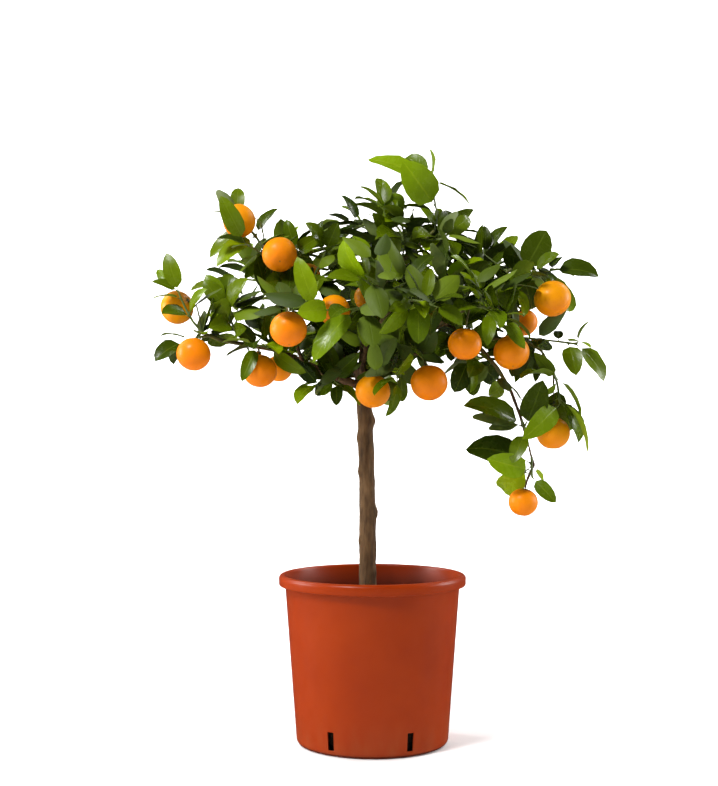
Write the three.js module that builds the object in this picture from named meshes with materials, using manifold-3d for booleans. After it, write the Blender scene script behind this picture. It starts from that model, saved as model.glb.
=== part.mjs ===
// Potted orange tree: a young standard tree with small round fruit, in a plastic nursery container.
// Millimetres, +Z up, the front towards -Y. The origin is the middle of the container's flat foot.
import * as THREE from 'three';
import { mergeVertices } from 'three/addons/utils/BufferGeometryUtils.js';
import Module from 'manifold-3d';

// Driving dimensions of the container
const POT_HEIGHT = 189;
const RIM_RADIUS = 105;
const RIM_HEIGHT = 12;
const WALL_RADIUS_AT_FOOT = 84.7;
const WALL_FLARE = 0.0745;
const WALL_THICKNESS = 2;
const FLOOR_THICKNESS = 2.5;
const FOOT_FILLET = 7;
const SLOT_WIDTH = 8;
const SLOT_BOTTOM = 7;
const SLOT_TOP = 27;
const SLOT_ANGLES = [-32, 28, 88, 148, 208, 268];
const POT_SIDES = 36;

// Driving dimensions of the compost and of the wood
const SOIL_TOP = 155;
const SOIL_HEAP = 4;
const GAP = 0.35;
const SMALLEST_DETAIL = 0.09;
const TRUNK_RADIUS = 9.2;
const COLLAR_RADIUS = 10.2;
const ROOT_CROWN_RADIUS = 13;
const ROOT_LENGTH = 62;
const ROOT_DROP = 50;
const ROOT_RADIUS = 6;
const ROOT_TIP_RADIUS = 2.2;
const TRUNK_HEAD_RADIUS = 8.2;
const TWIG_RADIUS = 1.7;
const TWIG_TIP_RADIUS = 1.2;
const TWIG_BEND = 0.25;
const TWIG_FORK_SHARE = 0.4;
const STALK_RADIUS = 1.4;
const STALK_DROOP = 0.4;

// Driving proportions of a fruit
const FRUIT_HEIGHT = 0.95;
const FRUIT_DIMPLE = 1.6;
const DIMPLE_SPREAD = 0.28;

// Driving proportions of a leaf
const PETIOLE_SHARE = 0.16;
const WIDEST_SHARE = 0.42;
const SHOULDER_SHARE = 0.74;
const SHOULDER_WIDTH = 0.74;
const PETIOLE_FOOT_RADIUS = 0.55;
const PETIOLE_RADIUS = 0.85;
const LEAF_ARCH = 0.1;
const OLD_LEAF_THICKNESS = 1.6;
const LEAF_THINNING_OF_THE_YOUNG = 0.7;
const NARROWEST_LEAF = 0.34;
const WIDEST_LEAF = 0.56;
const LEAST_SHOWN = 0.4;

// Leaves that fill a twig: from its foot to its tip they stand out less and less
const GOLDEN_ANGLE = THREE.MathUtils.degToRad(137.5);
const FIRST_FILLING_SHARE = 0.3;
const SPREAD_AT_FOOT = 72;
const SPREAD_AT_TIP = 30;
const SHORTEST_FILLING_LEAF = 36;
const LONGEST_FILLING_LEAF = 50;
const NARROWEST_FILLING_LEAF = 0.42;
const WIDEST_FILLING_LEAF = 0.52;

// Ways a leaf's upper side can look
const UP = new THREE.Vector3(0, 0, 1);
const FRONT = new THREE.Vector3(0, -1, 0);
const LEFT = new THREE.Vector3(-1, 0, 0);
const RIGHT = new THREE.Vector3(1, 0, 0);
const between = (one, other) => one.clone().add(other).normalize();
const UP_FRONT = between(UP, FRONT);
const UP_LEFT = between(UP, LEFT);
const FRONT_LEFT = between(FRONT, LEFT);
const FRONT_RIGHT = between(FRONT, RIGHT);

// Ages of a leaf: a young one is thin and light, an old one thick and dark
const YOUNG = 1;
const FRESH = 0.65;
const GROWN = 0.35;
const OLD = 0.05;

const tree = new THREE.Group();
const wasm = await Module();
wasm.setup();
const { Manifold } = wasm;

const vector = ([x, y, z]) => new THREE.Vector3(x, y, z);
const mix = THREE.MathUtils.lerp;

// A closed geometry as a solid that can be cut and joined
function solidOf(geometry) {
  geometry.deleteAttribute('normal');
  geometry.deleteAttribute('uv');
  const merged = mergeVertices(geometry);
  return new Manifold(new wasm.Mesh({
    numProp: 3,
    vertProperties: Float32Array.from(merged.attributes.position.array),
    triVerts: Uint32Array.from(merged.index.array),
  }));
}

function addPiece(name, solid, look) {
  const { vertProperties, triVerts } = solid.getMesh();
  const geometry = new THREE.BufferGeometry();
  geometry.setAttribute('position', new THREE.BufferAttribute(vertProperties, 3));
  geometry.setIndex(new THREE.BufferAttribute(triVerts, 1));
  geometry.computeVertexNormals();
  const mesh = new THREE.Mesh(geometry, new THREE.MeshStandardMaterial(look));
  mesh.name = name;
  tree.add(mesh);
}

// A seeded run of numbers from 0 to 1, so that the tree grows the same way every time
function dice(seed) {
  let state = seed;
  return () => {
    state = (state * 16807) % 2147483647;
    return state / 2147483647;
  };
}

// The container: a turned shell with a rolled rim and six drainage slots low in its wall.
function turned(profile, sides) {
  const outline = profile.map(([radius, height]) => new THREE.Vector2(radius, height));
  const geometry = new THREE.LatheGeometry(outline, sides);
  geometry.rotateX(Math.PI / 2);
  return solidOf(geometry);
}

const wallRadius = (height) => WALL_RADIUS_AT_FOOT + WALL_FLARE * height;
const innerRadius = (height) => wallRadius(height) - WALL_THICKNESS;

function footFillet() {
  const centre = wallRadius(FOOT_FILLET) - FOOT_FILLET;
  return [0, 30, 60, 90].map((degrees) => {
    const angle = THREE.MathUtils.degToRad(degrees);
    return [centre + FOOT_FILLET * Math.sin(angle), FOOT_FILLET * (1 - Math.cos(angle))];
  });
}

function potSolid() {
  const rimFoot = POT_HEIGHT - RIM_HEIGHT;
  const profile = [
    [0, 0],
    ...footFillet(),
    [wallRadius(rimFoot), rimFoot],
    [RIM_RADIUS - 1.5, rimFoot],
    [RIM_RADIUS, rimFoot + 3],
    [RIM_RADIUS, POT_HEIGHT - 4],
    [RIM_RADIUS - 2.5, POT_HEIGHT - 0.8],
    [RIM_RADIUS - 5, POT_HEIGHT],
    [innerRadius(POT_HEIGHT) + 1.5, POT_HEIGHT - 1],
    [innerRadius(POT_HEIGHT - 4), POT_HEIGHT - 4],
    [innerRadius(FOOT_FILLET), FOOT_FILLET],
    [innerRadius(0) - FOOT_FILLET + WALL_THICKNESS, FLOOR_THICKNESS],
    [0, FLOOR_THICKNESS],
  ];
  const slotHeight = SLOT_TOP - SLOT_BOTTOM;
  const slots = SLOT_ANGLES.map((degrees) => {
    const slot = new THREE.BoxGeometry(SLOT_WIDTH, 20, slotHeight);
    slot.translate(0, -wallRadius(SLOT_TOP), SLOT_BOTTOM + slotHeight / 2);
    slot.rotateZ(THREE.MathUtils.degToRad(degrees));
    return solidOf(slot);
  });
  return turned(profile, POT_SIDES).subtract(Manifold.union(slots));
}

// The compost: it fills the container to just below the rim and is heaped a little at the trunk.
function soilSolid(wood) {
  const inside = (height) => innerRadius(height) - GAP;
  const floor = FLOOR_THICKNESS + GAP;
  const profile = [
    [0, floor],
    [inside(0) - FOOT_FILLET - 1, floor],
    [inside(FOOT_FILLET), FOOT_FILLET + 1],
    [inside(SOIL_TOP), SOIL_TOP],
    [inside(SOIL_TOP) * 0.8, SOIL_TOP + SOIL_HEAP * 0.3],
    [inside(SOIL_TOP) * 0.45, SOIL_TOP + SOIL_HEAP * 0.2],
    [COLLAR_RADIUS * 2, SOIL_TOP + SOIL_HEAP * 0.8],
    [0, SOIL_TOP + SOIL_HEAP],
  ];
  return turned(profile, POT_SIDES).subtract(wood);
}

// A round rod along a curve, closed by a flat end at each side
function rod(curve, startRadius, endRadius, sides, steps) {
  const geometry = new THREE.CylinderGeometry(1, 1, 1, sides, steps);
  const { normals, binormals } = curve.computeFrenetFrames(steps);
  const corners = geometry.attributes.position;
  const corner = new THREE.Vector3();
  for (let i = 0; i < corners.count; i += 1) {
    corner.fromBufferAttribute(corners, i);
    const step = Math.round((corner.y + 0.5) * steps);
    const radius = mix(startRadius, endRadius, step / steps);
    const place = curve.getPointAt(step / steps)
      .addScaledVector(normals[step], corner.x * radius)
      .addScaledVector(binormals[step], -corner.z * radius);
    corners.setXYZ(i, place.x, place.y, place.z);
  }
  return solidOf(geometry);
}

// The wood: roots, trunk and limbs grew as one piece. A limb is the route of its pith and its
// radius where it starts and where it ends.
const route = (...points) => new THREE.CatmullRomCurve3(points.map(vector));
const TRUNK = route([-5, 0, 122], [-5, 0, 176], [-5, 0, 230], [-6, 1, 300], [-8, 1, 360], [-12, 2, 420]);
const LIMBS = {
  left: {
    pith: route([-10, 0, 398], [-45, -10, 412], [-77, -20, 426], [-100, -24, 438], [-130, -28, 444],
      [-162, -34, 449], [-190, -38, 459]),
    radii: [5.2, 2],
  },
  left_front: { pith: route([-77, -20, 426], [-86, -55, 452], [-92, -88, 482]), radii: [2.6, 1.7] },
  left_up: {
    pith: route([-12, 2, 408], [-39, 14, 446], [-76, 14, 486], [-106, 6, 519], [-121, -4, 554]),
    radii: [4.6, 2],
  },
  leader: {
    pith: route([-12, 2, 412], [-9, 8, 452], [2, 10, 497], [29, 6, 540], [58, 2, 560], [70, -2, 575]),
    radii: [5.4, 2],
  },
  right: {
    pith: route([-12, 2, 405], [25, -8, 438], [75, -14, 471], [120, -14, 504], [160, -10, 534]),
    radii: [5.2, 2],
  },
  droop: {
    pith: route([75, -14, 471], [108, -26, 451], [140, -40, 415], [154, -46, 387], [169, -50, 340],
      [175, -52, 313]),
    radii: [3.4, 1.7],
  },
  droop_side: {
    pith: route([108, -26, 451], [135, -24, 452], [163, -24, 453], [186, -30, 439], [199, -36, 415]),
    radii: [2.5, 1.7],
  },
  front: {
    pith: route([-12, 0, 412], [-7, -50, 444], [7, -90, 468], [32, -125, 488]),
    radii: [3.6, 1.7],
  },
  front_low: {
    pith: route([-12, 0, 408], [14, -30, 431], [35, -52, 439], [48, -62, 434]),
    radii: [2.8, 1.7],
  },
  front_right: {
    pith: route([25, -8, 438], [57, -50, 455], [85, -80, 472], [103, -92, 484]),
    radii: [2.8, 1.7],
  },
  back: {
    pith: route([-10, 2, 402], [0, 60, 440], [10, 115, 475], [20, 155, 515]),
    radii: [4.2, 1.8],
  },
  back_left: {
    pith: route([-10, 2, 408], [-40, 50, 440], [-90, 100, 480], [-130, 130, 515]),
    radii: [4, 1.8],
  },
  back_right: {
    pith: route([-8, 2, 400], [40, 50, 445], [90, 95, 480], [130, 125, 515]),
    radii: [4, 1.8],
  },
  back_top: { pith: route([2, 10, 497], [6, 50, 535], [12, 80, 575]), radii: [3, 1.8] },
  back_low: { pith: route([-10, 2, 400], [-35, 50, 412], [-60, 105, 425]), radii: [3.2, 1.8] },
};
const LIMB_SIDES = 5;
const LIMB_STEP = 30;
const ROOTS = 5;

function limbSolid({ pith, radii }, grow) {
  const steps = Math.max(3, Math.round(pith.getLength() / LIMB_STEP));
  return rod(pith, radii[0] + grow, radii[1] + grow, LIMB_SIDES, steps);
}

function rootSolid(index, grow) {
  const angle = (index / ROOTS) * 2 * Math.PI + 0.4;
  const [start] = TRUNK.points;
  const outward = new THREE.Vector3(Math.cos(angle), Math.sin(angle), 0);
  const middle = start.clone().addScaledVector(outward, ROOT_LENGTH * 0.5);
  const end = start.clone().addScaledVector(outward, ROOT_LENGTH);
  middle.z -= ROOT_DROP * 0.28;
  end.z -= ROOT_DROP;
  const pith = new THREE.QuadraticBezierCurve3(start, middle, end);
  return rod(pith, ROOT_RADIUS + grow, ROOT_TIP_RADIUS + grow, LIMB_SIDES, 3);
}

function stalkSolid({ centre, radius, limb, share, pole }, grow) {
  const start = LIMBS[limb].pith.getPointAt(share);
  const end = centre.clone().addScaledVector(pole, radius * FRUIT_HEIGHT - FRUIT_DIMPLE + GAP);
  const knee = end.clone().addScaledVector(pole, start.distanceTo(end) * STALK_DROOP);
  const pith = new THREE.QuadraticBezierCurve3(start, knee, end);
  return rod(pith, STALK_RADIUS + grow, STALK_RADIUS + grow, 4, 3);
}

function woodSolid(grow) {
  const butt = route([-5, 0, 118], [-5, 0, 140], [-5, 0, SOIL_TOP + 12]);
  return Manifold.union([
    rod(TRUNK, COLLAR_RADIUS + grow, TRUNK_HEAD_RADIUS + grow, 10, 6),
    rod(butt, ROOT_CROWN_RADIUS + grow, TRUNK_RADIUS + grow, 10, 2),
    ...Array.from({ length: ROOTS }, (_, index) => rootSolid(index, grow)),
    ...Object.values(LIMBS).map((limb) => limbSolid(limb, grow)),
  ]);
}

// The fruit: round, a little flatter from stalk to tip, with a dimple where the stalk sits.
const fruit = (centre, radius, limb, share) => {
  const toLimb = LIMBS[limb].pith.getPointAt(share).sub(vector(centre)).normalize();
  return { centre: vector(centre), radius, limb, share, pole: between(toLimb, UP) };
};
const FRUITS = [
  fruit([-148, -20, 583], 18.9, 'left_up', 1),
  fruit([-102, -40, 544], 19.2, 'left_up', 0.78),
  fruit([-217, -20, 487], 18.9, 'left', 0.99),
  fruit([-194, -62, 434], 18.7, 'left', 0.93),
  fruit([-89, -112, 459], 19.4, 'left_front', 1),
  fruit([-123, -50, 416], 18.7, 'left', 0.66),
  fruit([-106, 20, 420], 15.6, 'left', 0.52),
  fruit([-42, -50, 482], 17.4, 'left_up', 0.3),
  fruit([-4, 42, 502], 16.5, 'leader', 0.5),
  fruit([0, -62, 394], 18.9, 'front_low', 0.45),
  fruit([60, -82, 403], 20.1, 'front_low', 1),
  fruit([97, -98, 444], 17.9, 'front_right', 1),
  fruit([150, -62, 436], 19.5, 'droop_side', 0.35),
  fruit([196, -50, 495], 20.3, 'right', 1),
  fruit([198, -40, 348], 18.6, 'droop_side', 1),
  fruit([164, -50, 273], 16.1, 'droop', 1),
  fruit([172, 16, 472], 15.8, 'right', 0.88),
  fruit([-73, 34, 526], 14.5, 'left_up', 0.62),
  fruit([-102, 150, 472], 17.5, 'back_left', 0.9),
  fruit([-6, 168, 500], 16.5, 'back', 0.95),
  fruit([112, 132, 452], 17, 'back_right', 0.8),
];

function fruitSolid({ centre, radius, pole }) {
  const steps = 6;
  const profile = [];
  for (let i = 0; i <= steps; i += 1) {
    const angle = (i / steps) * Math.PI;
    const fromPole = Math.abs(angle - Math.PI) * radius;
    const dimple = FRUIT_DIMPLE * Math.exp(-((fromPole / (radius * DIMPLE_SPREAD)) ** 2));
    profile.push([radius * Math.sin(angle), -radius * FRUIT_HEIGHT * Math.cos(angle) - dimple]);
  }
  profile[0][0] = 0;
  profile[steps][0] = 0;
  const geometry = new THREE.LatheGeometry(profile.map(([r, h]) => new THREE.Vector2(r, h)), 12);
  geometry.applyQuaternion(new THREE.Quaternion().setFromUnitVectors(new THREE.Vector3(0, 1, 0), pole));
  geometry.translate(centre.x, centre.y, centre.z);
  return solidOf(geometry);
}

// A leaf: a thin arched blade on a short petiole, with a keel for its midrib, so that every
// cross-section is a flat triangle. It starts inside its twig.
function leafSolid({ base, tip, width, face, age }) {
  const along = tip.clone().sub(base);
  const length = along.length();
  along.normalize();
  const up = face.clone().addScaledVector(along, -face.dot(along)).normalize();
  const side = up.clone().cross(along);
  const crown = base.clone().lerp(tip, 0.5).addScaledVector(up, 2 * LEAF_ARCH * length);
  const midrib = new THREE.QuadraticBezierCurve3(base, crown, tip);
  const thickness = OLD_LEAF_THICKNESS - LEAF_THINNING_OF_THE_YOUNG * age;
  const shares = [0, PETIOLE_SHARE, WIDEST_SHARE, SHOULDER_SHARE, 1];
  const halfWidths = [PETIOLE_FOOT_RADIUS, PETIOLE_RADIUS, width / 2, (width / 2) * SHOULDER_WIDTH, 0];
  const keels = [PETIOLE_FOOT_RADIUS, PETIOLE_RADIUS, thickness, thickness * 0.8, 0];
  const geometry = new THREE.ConeGeometry(1, 1, 3, 4);
  const corners = geometry.attributes.position;
  for (let i = 0; i < corners.count; i += 1) {
    const ring = Math.round((corners.getY(i) + 0.5) * 4);
    const isEdge = Math.abs(corners.getX(i)) > 0.01;
    const isKeel = corners.getZ(i) > 0.01;
    const place = midrib.getPoint(shares[ring]);
    if (isEdge) place.addScaledVector(side, Math.sign(corners.getX(i)) * halfWidths[ring]);
    if (isKeel) place.addScaledVector(up, -keels[ring]);
    corners.setXYZ(i, place.x, place.y, place.z);
  }
  return solidOf(geometry);
}

// A leafy shoot: a twig from a limb, with its leaves. Leaves whose place matters are listed, each
// with the width that shows from the front; the rest fill the twig in a spiral.
const leaf = (share, tip, width, face, age) => ({ share, tip: vector(tip), width, face, age });
const SHOOTS = {
  shoot_top_leader: {
    limb: 'leader', share: 1, twigs: [[63, -10, 630]], fill: 0,
    leaves: [
      leaf(0.42, [33, -30, 648], 40, FRONT, YOUNG),
      leaf(0.9, [-6, 8, 656], 18, UP_FRONT, YOUNG),
      leaf(0.94, [40, 38, 664], 25, FRONT, GROWN),
      leaf(1, [64, -6, 666], 8, RIGHT, FRESH),
      leaf(0.97, [109, -22, 600], 8, UP, FRESH),
      leaf(0.12, [76, 14, 602], 8, FRONT, FRESH),
      leaf(0.06, [54, -18, 598], 8, FRONT_RIGHT, FRESH),
      leaf(0.3, [30, -14, 600], 20, UP, GROWN),
    ],
  },
  shoot_top_left_1: {
    limb: 'leader', share: 0.62, twigs: [[13, -4, 600], [-32, 32, 588]], fill: 7,
    leaves: [
      leaf(1, [13, -6, 632], 11, FRONT_RIGHT, FRESH),
      leaf(0.95, [6, 20, 638], 10, UP, GROWN),
      leaf(0.8, [-24, -16, 602], 17, UP, GROWN),
      leaf(0.9, [-20, 16, 614], 16, UP, GROWN),
      leaf(0.85, [26, -26, 606], 10, FRONT, FRESH),
      leaf(0.35, [-16, 14, 594], 16, FRONT, GROWN),
      leaf(0.25, [-40, -4, 584], 18, UP, OLD),
      leaf(0.6, [0, -38, 590], 13, FRONT, GROWN),
    ],
  },
  shoot_top_left_2: {
    limb: 'leader', share: 0.74, twigs: [[32, -22, 582], [22, 42, 590]], fill: 8,
    leaves: [
      leaf(1, [29, -18, 607], 12, FRONT_LEFT, OLD),
      leaf(0.9, [46, -2, 598], 10, RIGHT, GROWN),
      leaf(0.75, [14, -52, 580], 14, UP_FRONT, FRESH),
      leaf(0.5, [0, -50, 566], 17, UP_FRONT, GROWN),
    ],
  },
  shoot_top_right_1: {
    limb: 'leader', share: 0.88, twigs: [[82, -34, 562], [92, 32, 576]], fill: 8,
    leaves: [
      leaf(0.5, [100, -30, 597], 21, FRONT_LEFT, YOUNG),
      leaf(0.7, [112, 8, 591], 12, FRONT, GROWN),
      leaf(0.6, [85, 18, 594], 12, FRONT, OLD),
      leaf(0.5, [44, -52, 562], 24, UP_FRONT, GROWN),
      leaf(0.2, [124, -30, 548], 15, UP, FRESH),
    ],
  },
  shoot_top_right_2: {
    limb: 'right', share: 0.45, twigs: [[79, -62, 538], [108, -52, 512]], fill: 6,
    leaves: [
      leaf(0.5, [120, -70, 536], 15, UP_LEFT, FRESH),
      leaf(0.6, [69, -66, 566], 17, FRONT, FRESH),
      leaf(0.9, [95, -48, 565], 22, UP_FRONT, OLD),
      leaf(0.5, [48, -78, 532], 15, UP_FRONT, GROWN),
    ],
  },
  shoot_top_right_3: {
    limb: 'right', share: 0.62, twigs: [[130, 14, 552], [150, 48, 545]], fill: 6,
    leaves: [
      leaf(0.95, [127, 14, 582], 14, FRONT, OLD),
      leaf(0.6, [161, 22, 562], 18, UP_FRONT, OLD),
      leaf(0.8, [95, 30, 567], 22, UP_FRONT, OLD),
      leaf(0.5, [122, 45, 570], 20, UP_FRONT, GROWN),
      leaf(0.5, [112, -4, 512], 9, RIGHT, FRESH),
    ],
  },
  shoot_right_top: {
    limb: 'right', share: 0.86, twigs: [[199, -14, 528], [196, 34, 522]], fill: 4,
    leaves: [
      leaf(0.5, [196, 2, 575], 36, FRONT, OLD),
      leaf(0.7, [206, -34, 545], 28, UP_FRONT, GROWN),
      leaf(1, [252, -22, 522], 31, UP_FRONT, OLD),
      leaf(1, [213, 0, 545], 12, FRONT_LEFT, OLD),
      leaf(0.8, [230, 14, 484], 18, FRONT, FRESH),
      leaf(0.6, [152, -46, 502], 21, UP_FRONT, GROWN),
      leaf(0.5, [176, 22, 484], 26, FRONT, OLD),
      leaf(0.9, [214, 22, 486], 22, FRONT, OLD),
    ],
  },
  shoot_right_middle: {
    limb: 'right', share: 0.7, twigs: [[157, -60, 510], [128, -58, 484]], fill: 5,
    leaves: [
      leaf(0.6, [118, -80, 494], 34, FRONT, GROWN),
      leaf(1, [141, -86, 470], 15, FRONT_LEFT, GROWN),
      leaf(0.9, [160, -72, 475], 12, FRONT_RIGHT, FRESH),
      leaf(0.8, [120, -90, 478], 14, UP, GROWN),
      leaf(0.8, [184, -72, 501], 17, UP, GROWN),
    ],
  },
  shoot_right_far: {
    limb: 'droop_side', share: 0.45, twigs: [[225, -38, 446]], fill: 1,
    leaves: [
      leaf(1, [238, -40, 471], 10, UP_LEFT, GROWN),
      leaf(0.97, [255, -44, 405], 19, FRONT_RIGHT, GROWN),
      leaf(0.85, [221, -56, 411], 22, FRONT, GROWN),
      leaf(0.7, [206, -16, 462], 11, UP, OLD),
      leaf(0.4, [178, -52, 443], 12, UP, OLD),
    ],
  },
  shoot_droop_middle: {
    limb: 'droop', share: 0.72, twigs: [[168, -62, 345]], fill: 1,
    leaves: [
      leaf(0.35, [183, -72, 406], 29, FRONT, OLD),
      leaf(0.1, [97, -76, 381], 20, UP_FRONT, GROWN),
      leaf(0.15, [99, -40, 366], 22, UP_FRONT, OLD),
      leaf(0.45, [119, -54, 351], 22, UP_FRONT, GROWN),
      leaf(0.5, [192, -30, 386], 17, FRONT_LEFT, OLD),
    ],
  },
  shoot_right_low: {
    limb: 'droop_side', share: 1, twigs: [[204, -52, 380]], fill: 1,
    leaves: [
      leaf(1, [150, -72, 336], 17, FRONT, FRESH),
      leaf(0.15, [228, -48, 360], 7, RIGHT, YOUNG),
      leaf(0.8, [244, -56, 331], 9, RIGHT, YOUNG),
      leaf(0.9, [240, -24, 335], 11, FRONT_RIGHT, GROWN),
      leaf(0.7, [226, -8, 342], 15, FRONT, GROWN),
      leaf(0.2, [175, -56, 436], 12, FRONT, GROWN),
      leaf(0.2, [160, -64, 418], 15, UP, FRESH),
      leaf(0.4, [203, -14, 362], 22, FRONT, OLD),
      leaf(0.3, [184, -60, 392], 7, RIGHT, FRESH),
    ],
  },
  shoot_droop_tip: {
    limb: 'droop', share: 0.93, twigs: [[172, -64, 300]], fill: 0,
    leaves: [
      leaf(0.2, [101, -40, 332], 31, UP_FRONT, OLD),
      leaf(0.7, [125, -76, 329], 26, FRONT, YOUNG),
      leaf(0.85, [147, -46, 303], 11, UP, GROWN),
      leaf(0.97, [197, -74, 274], 16, FRONT, GROWN),
      leaf(0.6, [188, -40, 286], 7, RIGHT, YOUNG),
      leaf(0.1, [156, -20, 248], 9, FRONT, YOUNG),
    ],
  },
  shoot_right_under: {
    limb: 'droop', share: 0.28, twigs: [[104, -44, 430], [128, 6, 432]], fill: 6,
    leaves: [
      leaf(0.9, [89, -44, 392], 25, FRONT, OLD),
      leaf(1, [107, -60, 392], 8, FRONT_RIGHT, FRESH),
      leaf(0.7, [140, 2, 404], 22, FRONT, OLD),
      leaf(0.95, [112, -30, 388], 20, FRONT, OLD),
      leaf(0.5, [88, -4, 420], 22, FRONT, OLD),
    ],
  },
  shoot_front_right: {
    limb: 'front_right', share: 1, twigs: [[138, -108, 470], [104, -100, 510]], fill: 4,
    leaves: [
      leaf(0.6, [118, -128, 441], 15, UP_FRONT, GROWN),
      leaf(1, [158, -122, 438], 14, FRONT, GROWN),
      leaf(0.9, [160, -98, 474], 8, UP, YOUNG),
      leaf(0.3, [103, -98, 528], 11, FRONT_RIGHT, FRESH),
      leaf(0.5, [130, -94, 500], 9, LEFT, FRESH),
      leaf(0.15, [84, -125, 478], 17, UP_FRONT, GROWN),
    ],
  },
  shoot_front_left: {
    limb: 'front', share: 0.8, twigs: [[-60, -138, 477]], fill: 0,
    leaves: [
      leaf(0.82, [-78, -160, 474], 27, FRONT, YOUNG),
      leaf(0.35, [-17, -140, 527], 12, FRONT_RIGHT, YOUNG),
      leaf(0.5, [-63, -150, 424], 23, UP_FRONT, FRESH),
      leaf(0.6, [-44, -168, 468], 15, UP_FRONT, GROWN),
      leaf(1, [-79, -138, 533], 21, FRONT, FRESH),
    ],
  },
  shoot_front_up: {
    limb: 'front', share: 0.85, twigs: [[-8, -134, 508], [40, -96, 510]], fill: 6,
    leaves: [
      leaf(1, [-26, -150, 553], 20, FRONT_LEFT, YOUNG),
      leaf(0.6, [20, -126, 535], 10, RIGHT, FRESH),
      leaf(0.5, [0, -150, 535], 15, UP_FRONT, OLD),
      leaf(0.9, [-50, -122, 512], 14, UP_FRONT, GROWN),
    ],
  },
  shoot_front_down: {
    limb: 'front', share: 1, twigs: [[62, -140, 482]], fill: 3,
    leaves: [
      leaf(1, [92, -146, 462], 21, UP_FRONT, GROWN),
      leaf(0.2, [6, -152, 452], 11, FRONT_RIGHT, FRESH),
      leaf(0.5, [46, -142, 442], 24, FRONT, GROWN),
      leaf(0.3, [12, -150, 474], 15, FRONT, GROWN),
      leaf(0.7, [60, -130, 522], 13, FRONT, GROWN),
    ],
  },
  shoot_centre_low: {
    limb: 'front_low', share: 0.8, twigs: [[26, -84, 408]], fill: 1,
    leaves: [
      leaf(0.6, [-16, -88, 406], 20, UP_FRONT, GROWN),
      leaf(1, [14, -86, 366], 11, FRONT_RIGHT, GROWN),
      leaf(0.95, [0, -100, 390], 8, UP, FRESH),
      leaf(0.8, [32, -58, 382], 13, FRONT, OLD),
      leaf(0.5, [0, -74, 440], 18, UP_FRONT, OLD),
      leaf(0.6, [28, -106, 444], 17, UP_FRONT, OLD),
    ],
  },
  shoot_trunk_left: {
    limb: 'left', share: 0.2, twigs: [[-38, -34, 402], [-66, -40, 400]], fill: 4,
    leaves: [
      leaf(0.7, [-52, -34, 425], 20, UP_FRONT, OLD),
      leaf(0.9, [-40, -38, 378], 14, FRONT, OLD),
      leaf(0.8, [-58, -18, 390], 12, FRONT_LEFT, GROWN),
      leaf(0.5, [-14, -52, 436], 17, FRONT, OLD),
    ],
  },
  shoot_left_tip: {
    limb: 'left', share: 0.97, twigs: [[-212, -46, 502]], fill: 0,
    leaves: [
      leaf(0.95, [-226, -42, 546], 19, FRONT, GROWN),
      leaf(1, [-238, -34, 528], 10, FRONT, FRESH),
      leaf(1, [-240, -50, 517], 9, UP_FRONT, GROWN),
      leaf(0.85, [-239, -60, 495], 10, UP, FRESH),
      leaf(0.5, [-180, -64, 505], 11, UP_FRONT, FRESH),
      leaf(0.45, [-228, -70, 478], 21, UP_FRONT, GROWN),
    ],
  },
  shoot_left_end: {
    limb: 'left', share: 0.93, twigs: [[-208, -30, 448]], fill: 1,
    leaves: [
      leaf(1, [-238, -50, 427], 20, UP_FRONT, OLD),
      leaf(0.8, [-236, -26, 456], 9, UP, GROWN),
      leaf(0.4, [-172, -64, 456], 10, UP, FRESH),
    ],
  },
  shoot_left_middle: {
    limb: 'left', share: 0.72, twigs: [[-162, -34, 492], [-142, 22, 480]], fill: 8,
    leaves: [
      leaf(0.9, [-186, -36, 516], 20, FRONT, GROWN),
      leaf(0.6, [-177, -68, 462], 21, FRONT, GROWN),
      leaf(1, [-158, -26, 526], 19, FRONT, GROWN),
      leaf(0.8, [-136, -54, 517], 17, UP_FRONT, GROWN),
      leaf(0.4, [-138, -62, 462], 17, FRONT, GROWN),
    ],
  },
  shoot_left_low: {
    limb: 'left', share: 0.52, twigs: [[-128, -60, 444], [-72, -46, 452]], fill: 4,
    leaves: [
      leaf(0.95, [-164, -62, 447], 14, UP, FRESH),
      leaf(0.8, [-100, -88, 434], 10, UP, YOUNG),
      leaf(0.5, [-92, -66, 436], 15, UP_FRONT, GROWN),
      leaf(0.9, [-142, -66, 402], 11, FRONT, GROWN),
      leaf(0.4, [-78, -62, 412], 10, FRONT_LEFT, GROWN),
    ],
  },
  shoot_left_crown: {
    limb: 'left_up', share: 0.97, twigs: [[-152, 4, 592]], fill: 0,
    leaves: [
      leaf(0.4, [-106, 14, 602], 12, FRONT_LEFT, OLD),
      leaf(0.9, [-180, 6, 626], 25, FRONT, GROWN),
      leaf(1, [-152, 16, 626], 17, FRONT, GROWN),
      leaf(0.95, [-187, -10, 594], 10, UP, FRESH),
      leaf(0.6, [-186, -20, 556], 16, UP_FRONT, GROWN),
      leaf(0.4, [-172, -44, 540], 15, UP_FRONT, FRESH),
    ],
  },
  shoot_left_crown_2: {
    limb: 'left_up', share: 0.9, twigs: [[-140, -38, 556]], fill: 1,
    leaves: [
      leaf(1, [-166, -54, 607], 21, FRONT, GROWN),
      leaf(0.8, [-156, -58, 548], 15, UP, FRESH),
    ],
  },
  shoot_left_crown_3: {
    limb: 'left_up', share: 0.68, twigs: [[-84, 4, 556], [-100, 44, 560]], fill: 8,
    leaves: [
      leaf(0.9, [-97, 2, 588], 16, FRONT, GROWN),
      leaf(0.9, [-58, -20, 566], 17, FRONT, GROWN),
      leaf(0.3, [-118, -60, 510], 15, FRONT, GROWN),
      leaf(0.5, [-98, -50, 500], 18, FRONT, OLD),
    ],
  },
  shoot_left_crown_4: {
    limb: 'left_up', share: 0.5, twigs: [[-52, -14, 550], [-20, -16, 540]], fill: 8,
    leaves: [
      leaf(1, [-84, -24, 576], 15, UP_FRONT, GROWN),
      leaf(0.9, [-38, -32, 580], 18, FRONT, OLD),
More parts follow.
